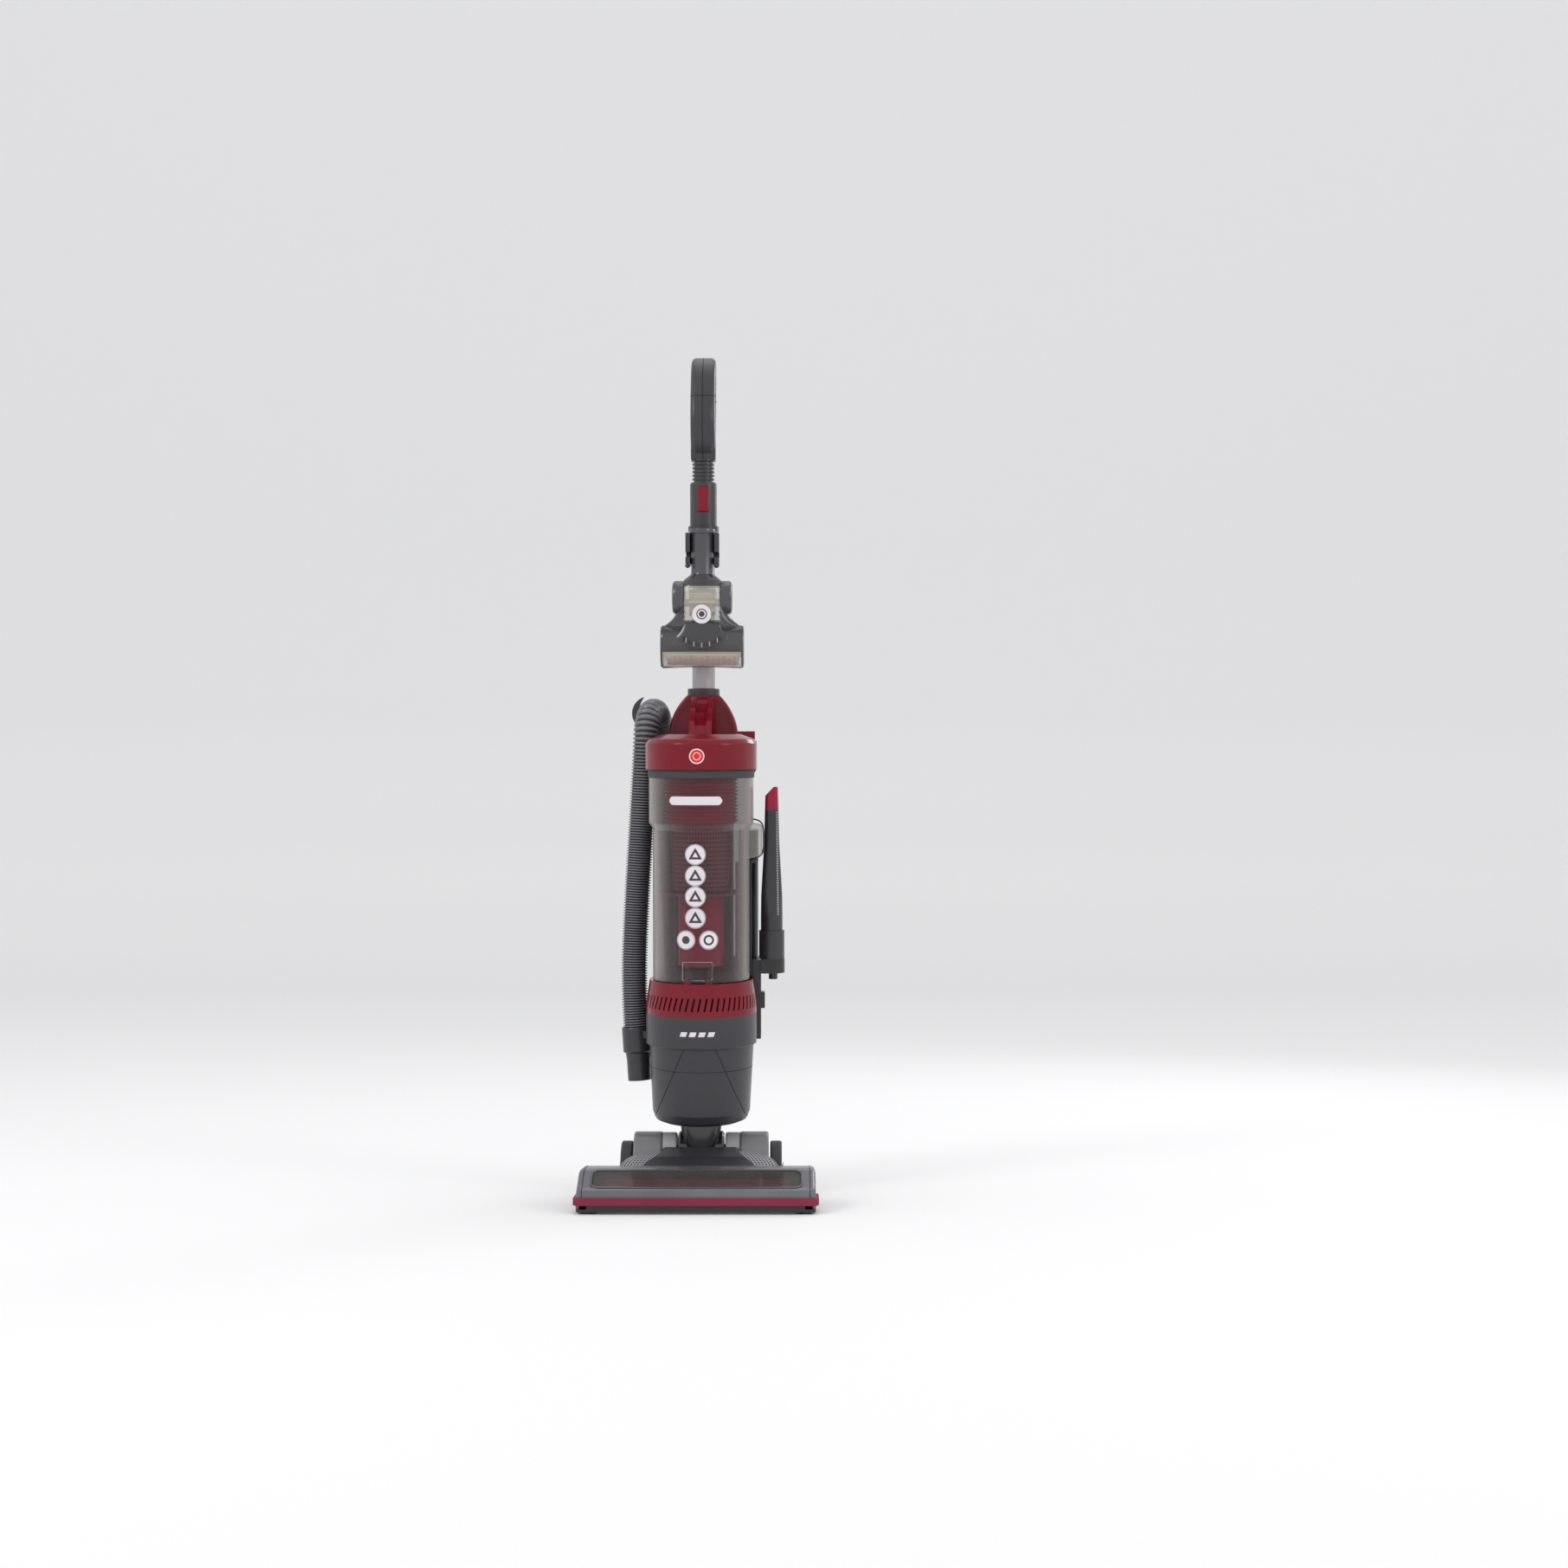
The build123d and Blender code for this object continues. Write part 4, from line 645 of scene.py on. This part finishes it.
scoop = start(bpy.ops.mesh.primitive_grid_add, "mini_scoop", x_subdivisions=36, y_subdivisions=16, size=2,
              location=(0, 0, 0))
for vertex in scoop.data.vertices:
    across_scoop, down = vertex.co.x, (1 - vertex.co.y) / 2
    half = 25 + 10.5 * down ** 1.3
    lip = 687 + 17 * across_scoop ** 2
    top = 724.5 - 3.5 * across_scoop ** 2
    height = top + (lip - top) * down
    reach = 26.2 - 2.6 * math.sin(math.pi * down / 2) * (1 - across_scoop ** 4) + 2.5 * across_scoop ** 4
    vertex.co = Vector((half * across_scoop, reach, height)) / 1000
scoop_wall = scoop.modifiers.new("wall", "SOLIDIFY")
scoop_wall.thickness = 0.0016
scoop_wall.offset = -1
bpy.ops.object.modifier_apply(modifier=scoop_wall.name)
turn_outward()
scoop_gloss = satin("scoop_gloss", (0.03, 0.028, 0.031), roughness=0.14, grain=0.01, specular=0.7)
settle(scoop, scoop_gloss, "pet_tool", bevel=0.0004)

for number in range(15):
    across_scoop = (number - 7) / 9.5
    tooth_z = 0.6925 + 0.017 * across_scoop ** 2
    tooth = start(bpy.ops.mesh.primitive_cube_add, f"scoop_tooth_{number + 1}", size=1,
                  location=(0.034 * across_scoop, 0.0233, tooth_z), scale=(0.0013, 0.0016, 0.0062))
    for vertex in tooth.data.vertices:
        if vertex.co.z < tooth_z:
            vertex.co.y += 0.0008
    # Every third tooth is pale grey as a painted glint on the black teeth.
    settle(tooth, pale_grey if number % 3 == 1 else black, "pet_tool", bevel=0.0003)

mini_mark = disc_sticker("mini_mark", 0, 0.7352, 0.0262, ((0.0, 0.3), (0.44, 0.56)), radius=None)
mini_mark.data.transform(Matrix.Translation((0, 0.0245, 0)))
settle(mini_mark, None, "pet_tool")
mini_cream = satin("mini_inner_cream", (0.75, 0.70, 0.60), roughness=0.5, grain=0.03)
inner_strip = start(bpy.ops.mesh.primitive_cube_add, "mini_inner_strip", size=1,
                    location=(0, 0.0705, 0.6755), scale=(0.100, 0.0012, 0.018))
settle(inner_strip, mini_cream, "pet_tool", bevel=0.0004)
dress(mini_cream, "pet_turbine", "pet_brush")

tuft_red = satin("bristle_red", (0.42, 0.012, 0.04), roughness=0.6, grain=0.3, scale=1500)
brush_low, brush_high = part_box("pet_brush")
brush_axis = Vector((0, *(lean.inverted() @ ((brush_low + brush_high) / 2)).yz))
TUFT_ANGLES = (25, 58, 205, 238)
tufts = []
for number in range(52):
    turn = math.radians(TUFT_ANGLES[number % 4]) + 0.1 * math.sin(number)
    outward = Vector((0, math.cos(turn), math.sin(turn)))
    tuft = start(bpy.ops.mesh.primitive_cone_add, f"mini_tuft_{number + 1}", vertices=10, radius1=0.0012,
                 radius2=0.0022, depth=0.0052)
    tuft.data.transform(Matrix.Translation(brush_axis + Vector((-0.045 + 0.0075 * (number // 4), 0, 0))
                                           + outward * 0.0128)
                        @ outward.to_track_quat("Z", "X").to_matrix().to_4x4())
    tufts.append(tuft)
mini_tufts = join_as("mini_tufts", tufts)
settle(mini_tufts, tuft_red, "pet_brush_body")

# ---- Vent screens: two inclined plates of perforated plastic beside the bonnet, each moulded with
# rows of oval holes and curved edges, on a dark plinth that closes the gap down to the deck.
head_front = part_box("bumper_strip")[0].y
grille_grey = satin("grille_grey", (0.27, 0.265, 0.28), roughness=0.35, grain=0.05)


def vent_plate(name, hand, cuts, sink=0.0):
    """A slanting grid of faces with curved edges, left in edit mode with everything selected."""
    plate = start(bpy.ops.mesh.primitive_grid_add, name, x_subdivisions=cuts[0], y_subdivisions=cuts[1],
                  size=2, location=(0, 0, 0))
    for vertex in plate.data.vertices:
        outward, rear = (vertex.co.x + 1) / 2, (vertex.co.y + 1) / 2
        inner = 66 - 20 * rear ** 0.7
        outer = 106 - 25 * rear ** 1.6
        height = 49.5 + 14 * rear + 2.5 * math.sin(math.pi * rear) - 2.5 * outward ** 3
        vertex.co = Vector((hand * (inner + (outer - inner) * outward) / 1000,
                            head_front + (97 + 62 * rear) / 1000, height / 1000 - sink))
    if hand < 0:
        plate.data.flip_normals()
    bpy.ops.object.mode_set(mode="EDIT")
    bpy.ops.mesh.select_all(action="SELECT")
    return plate


for hand, side_name in ((-1, "left"), (1, "right")):
    vent_screen = vent_plate(f"vent_screen_{side_name}", hand, (10, 11))
    bpy.ops.mesh.inset(thickness=0.00075, use_individual=True)
    bpy.ops.mesh.delete(type="FACE")
    bpy.ops.object.mode_set(mode="OBJECT")
    rounder = vent_screen.modifiers.new("rounder", "SUBSURF")
    rounder.levels = rounder.render_levels = 1
    bpy.ops.object.modifier_apply(modifier=rounder.name)
    wall = vent_screen.modifiers.new("wall", "SOLIDIFY")
    wall.thickness = 0.0013
    wall.offset = -1
    # The hole walls and the plate's outer edge take the black plastic: painted shade, so the holes read dark.
    vent_screen.data.materials.append(grille_grey)
    vent_screen.data.materials.append(black)
    wall.material_offset_rim = 1
    bpy.ops.object.modifier_apply(modifier=wall.name)
    settle(vent_screen, None, "floor_head", leaning=False)
    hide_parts("vent_panels")

    vent_plinth = vent_plate(f"vent_plinth_{side_name}", hand, (6, 8), sink=0.0030)
    bpy.ops.mesh.extrude_region_move(TRANSFORM_OT_translate={"value": (0, 0, -0.0001)})
    bpy.ops.object.mode_set(mode="OBJECT")
    for vertex in vent_plinth.data.vertices:
        if vertex.select:
            vertex.co.z = 0.0475 + (vertex.co.y - head_front - 0.098) / 12
    turn_outward()
    settle(vent_plinth, black, "floor_head", leaning=False)


# ---- Parting lines: where two mouldings meet there is a hairline gap that gathers shadow. Each is laid
# along the moulding's own outline, cut from a copy of it, as a fine dark thread sunk in the seam. The same
# thread also marks the handle's creases and the bowl's ridge and ribs, as painted shade.
seam_and_crease_shade = satin("seam_and_crease_shadow", (0.008, 0.008, 0.009), roughness=0.7, grain=0.02, specular=0.2)


def seam_and_crease_shade_line(node, name, point, normal, body, width=0.0009):
    skin = bpy.data.objects.new(name, nodes[node].data.copy())
    bpy.context.scene.collection.objects.link(skin)
    alone(skin)
    bpy.ops.object.mode_set(mode="EDIT")
    bpy.ops.mesh.select_all(action="SELECT")
    bpy.ops.mesh.remove_doubles(threshold=0.000002)
    bpy.ops.mesh.select_all(action="SELECT")
    bpy.ops.mesh.bisect(plane_co=point, plane_no=normal, clear_inner=True, clear_outer=True)
    bpy.ops.object.mode_set(mode="OBJECT")
    bpy.ops.object.convert(target="CURVE")
    thread = bpy.context.object
    thread.data.bevel_depth = width / 2
    thread.data.bevel_resolution = 1
    bpy.ops.object.convert(target="MESH")
    thread = bpy.context.object
    thread.name = name
    return settle(thread, seam_and_crease_shade, body, leaning=False)


across = lean.to_3x3() @ Vector((1, 0, 0))
upward = lean.to_3x3() @ Vector((0, 0, 1))
seam_and_crease_shade_line("handle_left", "handle_seam", on_body(-0.2, 0, 1030), across, "wand")
# The handle's creases and the bowl's ridge and ribs have no gap: their dark threads are painted shade.
seam_and_crease_shade_line("handle_left", "handle_crease_shade_left", on_body(0, 0, 1040), upward, "wand")
seam_and_crease_shade_line("handle_right", "handle_crease_shade_right", on_body(0, 0, 1040), upward, "wand")
seam_and_crease_shade_line("motor_bowl", "bowl_ridge_shade", on_body(0, 0, 118), upward, "upright", width=0.0007)
for hand, side_name in ((-1, "left"), (1, "right")):
    seam_and_crease_shade_line("nozzle_cover", f"end_cap_seam_{side_name}", Vector((hand * 0.1465, 0, 0)), Vector((1, 0, 0)),
                 "floor_head")
    slanted = (lean.to_3x3() @ Vector((1, 0, hand * 0.42))).normalized()
    seam_and_crease_shade_line("motor_bowl", f"bowl_rib_shade_{side_name}", on_body(hand * 44, 0, 95), slanted, "upright")

# ---- Window bezel: a glossy dark frame with rounded corners, snapped over the brush window's edge.
# A thin bead of the same plastic finishes its upper side.
def rounded_frame(name, width, height, corner, rim, depth):
    """A flat frame in X and Y, its corners rounded, standing on Z = 0."""
    piece = start(bpy.ops.mesh.primitive_plane_add, name, size=1)
    piece.data.transform(Matrix.Diagonal((width, height, 1, 1)))
    bpy.ops.object.mode_set(mode="EDIT")
    bpy.ops.mesh.select_all(action="SELECT")
    bpy.ops.mesh.bevel(offset=corner, segments=6, affect="VERTICES")
    bpy.ops.mesh.select_all(action="SELECT")
    bpy.ops.mesh.inset(thickness=rim)
    bpy.ops.mesh.delete(type="FACE")
    bpy.ops.mesh.select_all(action="SELECT")
    bpy.ops.mesh.extrude_region_move(TRANSFORM_OT_translate={"value": (0, 0, depth)})
    turn_outward()
    return piece


window_low, window_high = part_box("nozzle_window")
LOWER_EDGE = 0.003
slope_run = window_high.y - window_low.y
slope_rise = window_high.z - window_low.z - LOWER_EDGE
slope_middle = (0, (window_low.y + window_high.y) / 2, (window_low.z + LOWER_EDGE + window_high.z) / 2)
slope_seat = (Matrix.Translation(slope_middle)
              @ Matrix.Rotation(math.atan2(slope_rise, slope_run), 4, "X"))
bezel_gloss = satin("bezel_gloss", (0.05, 0.049, 0.056), roughness=0.16, grain=0.01, specular=0.7)
window_bezel = rounded_frame("window_bezel", 0.2745, math.hypot(slope_run, slope_rise) + 0.003,
                             corner=0.011, rim=0.0032, depth=0.0016)
window_bezel.data.transform(slope_seat @ Matrix.Translation((0, 0, -0.0004)))
settle(window_bezel, bezel_gloss, "floor_head", bevel=0.0006, leaning=False)
window_top = start(bpy.ops.mesh.primitive_cylinder_add, "window_top_bead", vertices=16, radius=0.0016,
                   depth=0.262, rotation=(0, math.radians(90), 0),
                   location=(0, window_high.y + 0.0012, window_high.z + 0.0006))
for vertex in window_top.data.vertices:
    if abs(vertex.co.x) > 0.13:
        vertex.co.z -= 0.0006
settle(window_top, bezel_gloss, "floor_head", bevel=0.0005, leaning=False)

# ---- Roll bristles: two spiral rows of stiff nylon tufts, set in the brush roll's drilled holes.
# They turn with the roll.
roll_low, roll_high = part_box("brush_roll")
roll_middle = (roll_low + roll_high) / 2
roll_radius = min(roll_high.y - roll_low.y, roll_high.z - roll_low.z) / 2
tufts = []
for number in range(52):
    row, place = number % 2, number // 2
    turn = math.pi * row + place * math.pi / 13
    centre = Vector((-0.118 + 0.236 * place / 25, 0, 0))
    outward = Vector((0, math.sin(turn), math.cos(turn)))
    seat = (Matrix.Translation(roll_middle + centre + outward * (roll_radius - 0.003))
            @ outward.to_track_quat("Z", "X").to_matrix().to_4x4())
    tuft = start(bpy.ops.mesh.primitive_cone_add, f"roll_tuft_{number + 1}", vertices=8, radius1=0.0012,
                 radius2=0.0019, depth=0.004)
    tuft.data.transform(seat)
    tufts.append(tuft)
roll_bristles = join_as("roll_bristles", tufts)
settle(roll_bristles, tuft_red, "brush_roll_body", leaning=False)

# ---- Crevice tool beads: a raised strip of small beads down the tool's edge, moulded in one with it
# for grip. A bead past the end of the tool's wall is left out.
def wall_at(node, x, z, facing):
    """Where a line along Y meets a piece, from the front (1) or from behind (-1), in the body's frame."""
    aim = lean.to_3x3() @ Vector((0, facing, 0))
    hit, place, _, _ = nodes[node].ray_cast(on_body(x, -400 * facing, z), aim)
    return lean.inverted() @ place if hit else None


BEAD_START, BEAD_STEP = 322, 3.35
beads = []
for number in range(44):
    height = BEAD_START + BEAD_STEP * number
    seat = wall_at("crevice_tool", 104.6 - 0.012 * (height - BEAD_START), height, facing=1)
    if seat is None:
        continue
    bead = start(bpy.ops.mesh.primitive_ico_sphere_add, f"bead_{number + 1}", subdivisions=1, radius=0.0014,
                 location=seat)
    for vertex in bead.data.vertices:
        vertex.co.x = seat.x + 1.15 * (vertex.co.x - seat.x)
    beads.append(bead)
bead_strip = join_as("crevice_bead_strip", beads)
settle(bead_strip, pale_grey, "crevice")

# ---- Bin side cuff: a clear blister on the bin's right flank over the dirty-air inlet, with a black
# rubber cord laid round its edge. Its run on down the bin's wall is a painted shade line along the bin's edge.
side_cuff = start(bpy.ops.mesh.primitive_cube_add, "side_cuff", size=1, location=(0.0725, 0.004, 0.4255),
                  scale=(0.0215, 0.020, 0.052))
cuff_clear = smoked("cuff_clear", (0.34, 0.33, 0.31), facing=0.4, edge=0.75)
for vertex in side_cuff.data.vertices:
    if vertex.co.x > 0.07:
        vertex.co.z += 0.005 if vertex.co.z < 0.42 else -0.004
        vertex.co.y = 0.004 + (vertex.co.y - 0.004) * 0.8
settle(side_cuff, cuff_clear, "bin", bevel=0.0045)
# From about 391 mm down, the route is painted shade along the bin's edge.
cuff_and_edge_shade_route = ((67, 2, 456), (71, 1, 454.5), (79, 0, 453), (84.6, 0, 447), (85.2, 0, 431), (85.2, 0, 414),
              (83, 0, 406), (76, 0, 402), (69, 1, 398), (67.6, 2, 391), (67.6, 2, 380), (67.6, 2, 300),
              (67.6, 2, 240))
cuff_cord_and_edge_shade = curve_through("cuff_cord_and_edge_shade", cuff_and_edge_shade_route)
cuff_cord_and_edge_shade.data.bevel_depth = 0.0011
cuff_cord_and_edge_shade.data.bevel_resolution = 3
alone(cuff_cord_and_edge_shade)
bpy.ops.object.convert(target="MESH")
cuff_cord_and_edge_shade = bpy.context.object
cuff_cord_and_edge_shade.name = "cuff_cord_and_edge_shade"
settle(cuff_cord_and_edge_shade, tyre_rubber, "bin", leaning=False)

# ---- Bin tab: a clear finger tab on the bin's front, in a raised frame, over two burgundy lugs that
# hook the bin to the exhaust ring.
BIN_FOOT_WALL = 0.0658
tab_frame = rounded_frame("tab_frame", 0.041, 0.026, corner=0.002, rim=0.0014, depth=0.0012)
bpy.ops.object.mode_set(mode="EDIT")
bpy.ops.mesh.select_all(action="SELECT")
bpy.ops.mesh.quads_convert_to_tris()
bpy.ops.mesh.subdivide(number_cuts=4)
bpy.ops.object.mode_set(mode="OBJECT")
tab_frame.data.transform(Matrix.Translation((-0.003, 0, 0.2535)) @ Matrix.Rotation(math.radians(90), 4, "X"))
bend_round(tab_frame, BIN_FOOT_WALL)
settle(tab_frame, cuff_clear, "bin")
for number, offset in enumerate((-0.016, 0.011)):
    lug = start(bpy.ops.mesh.primitive_cube_add, f"bin_lug_{number + 1}", size=1,
                location=(offset, -0.0015, 0.2375), scale=(0.0085, 0.005, 0.013))
    for vertex in lug.data.vertices:
        if vertex.co.z > 0.24:
            vertex.co.y += 0.0012 if vertex.co.y < -0.002 else 0
            vertex.co.x = offset + 0.8 * (vertex.co.x - offset)
    bend_round(lug, BIN_FOOT_WALL)
    settle(lug, burgundy, "bin", bevel=0.0008)

# ---- Back screws: self-tapping steel screws that hold the spine's mouldings, each sunk in a round
# black well, with two hairline seams across the spine between them.
for number, (x, z) in enumerate(((-34, 250), (34, 250), (-34, 400), (34, 400), (-34, 540), (34, 540))):
    screw = start(bpy.ops.mesh.primitive_cylinder_add, f"back_screw_{number + 1}", vertices=28, radius=0.0046,
                  depth=0.0012, location=wall_at("spine", x, z, facing=-1), rotation=(math.radians(90), 0, 0))
    screw.data.materials.append(black)
    screw.data.materials.append(bare_steel)
    pick_face(screw, max(screw.data.polygons, key=lambda face: face.center.y))
    bpy.ops.object.mode_set(mode="EDIT")
    bpy.ops.mesh.inset(thickness=0.0012)
    bpy.ops.mesh.extrude_region_move(TRANSFORM_OT_translate={"value": (0, -0.0009, 0)})
    bpy.ops.mesh.inset(thickness=0.0003)
    bpy.context.object.active_material_index = 1
    bpy.ops.object.material_slot_assign()
    bpy.ops.mesh.inset(thickness=0.0014)
    bpy.ops.mesh.extrude_region_move(TRANSFORM_OT_translate={"value": (0, -0.0002, 0)})
    bpy.ops.object.mode_set(mode="OBJECT")
    settle(screw, None, "upright")
for number, height in enumerate((300, 500)):
    seam_and_crease_shade_line("spine", f"spine_seam_{number + 1}", on_body(0, 0, height), upward, "upright", width=0.0007)
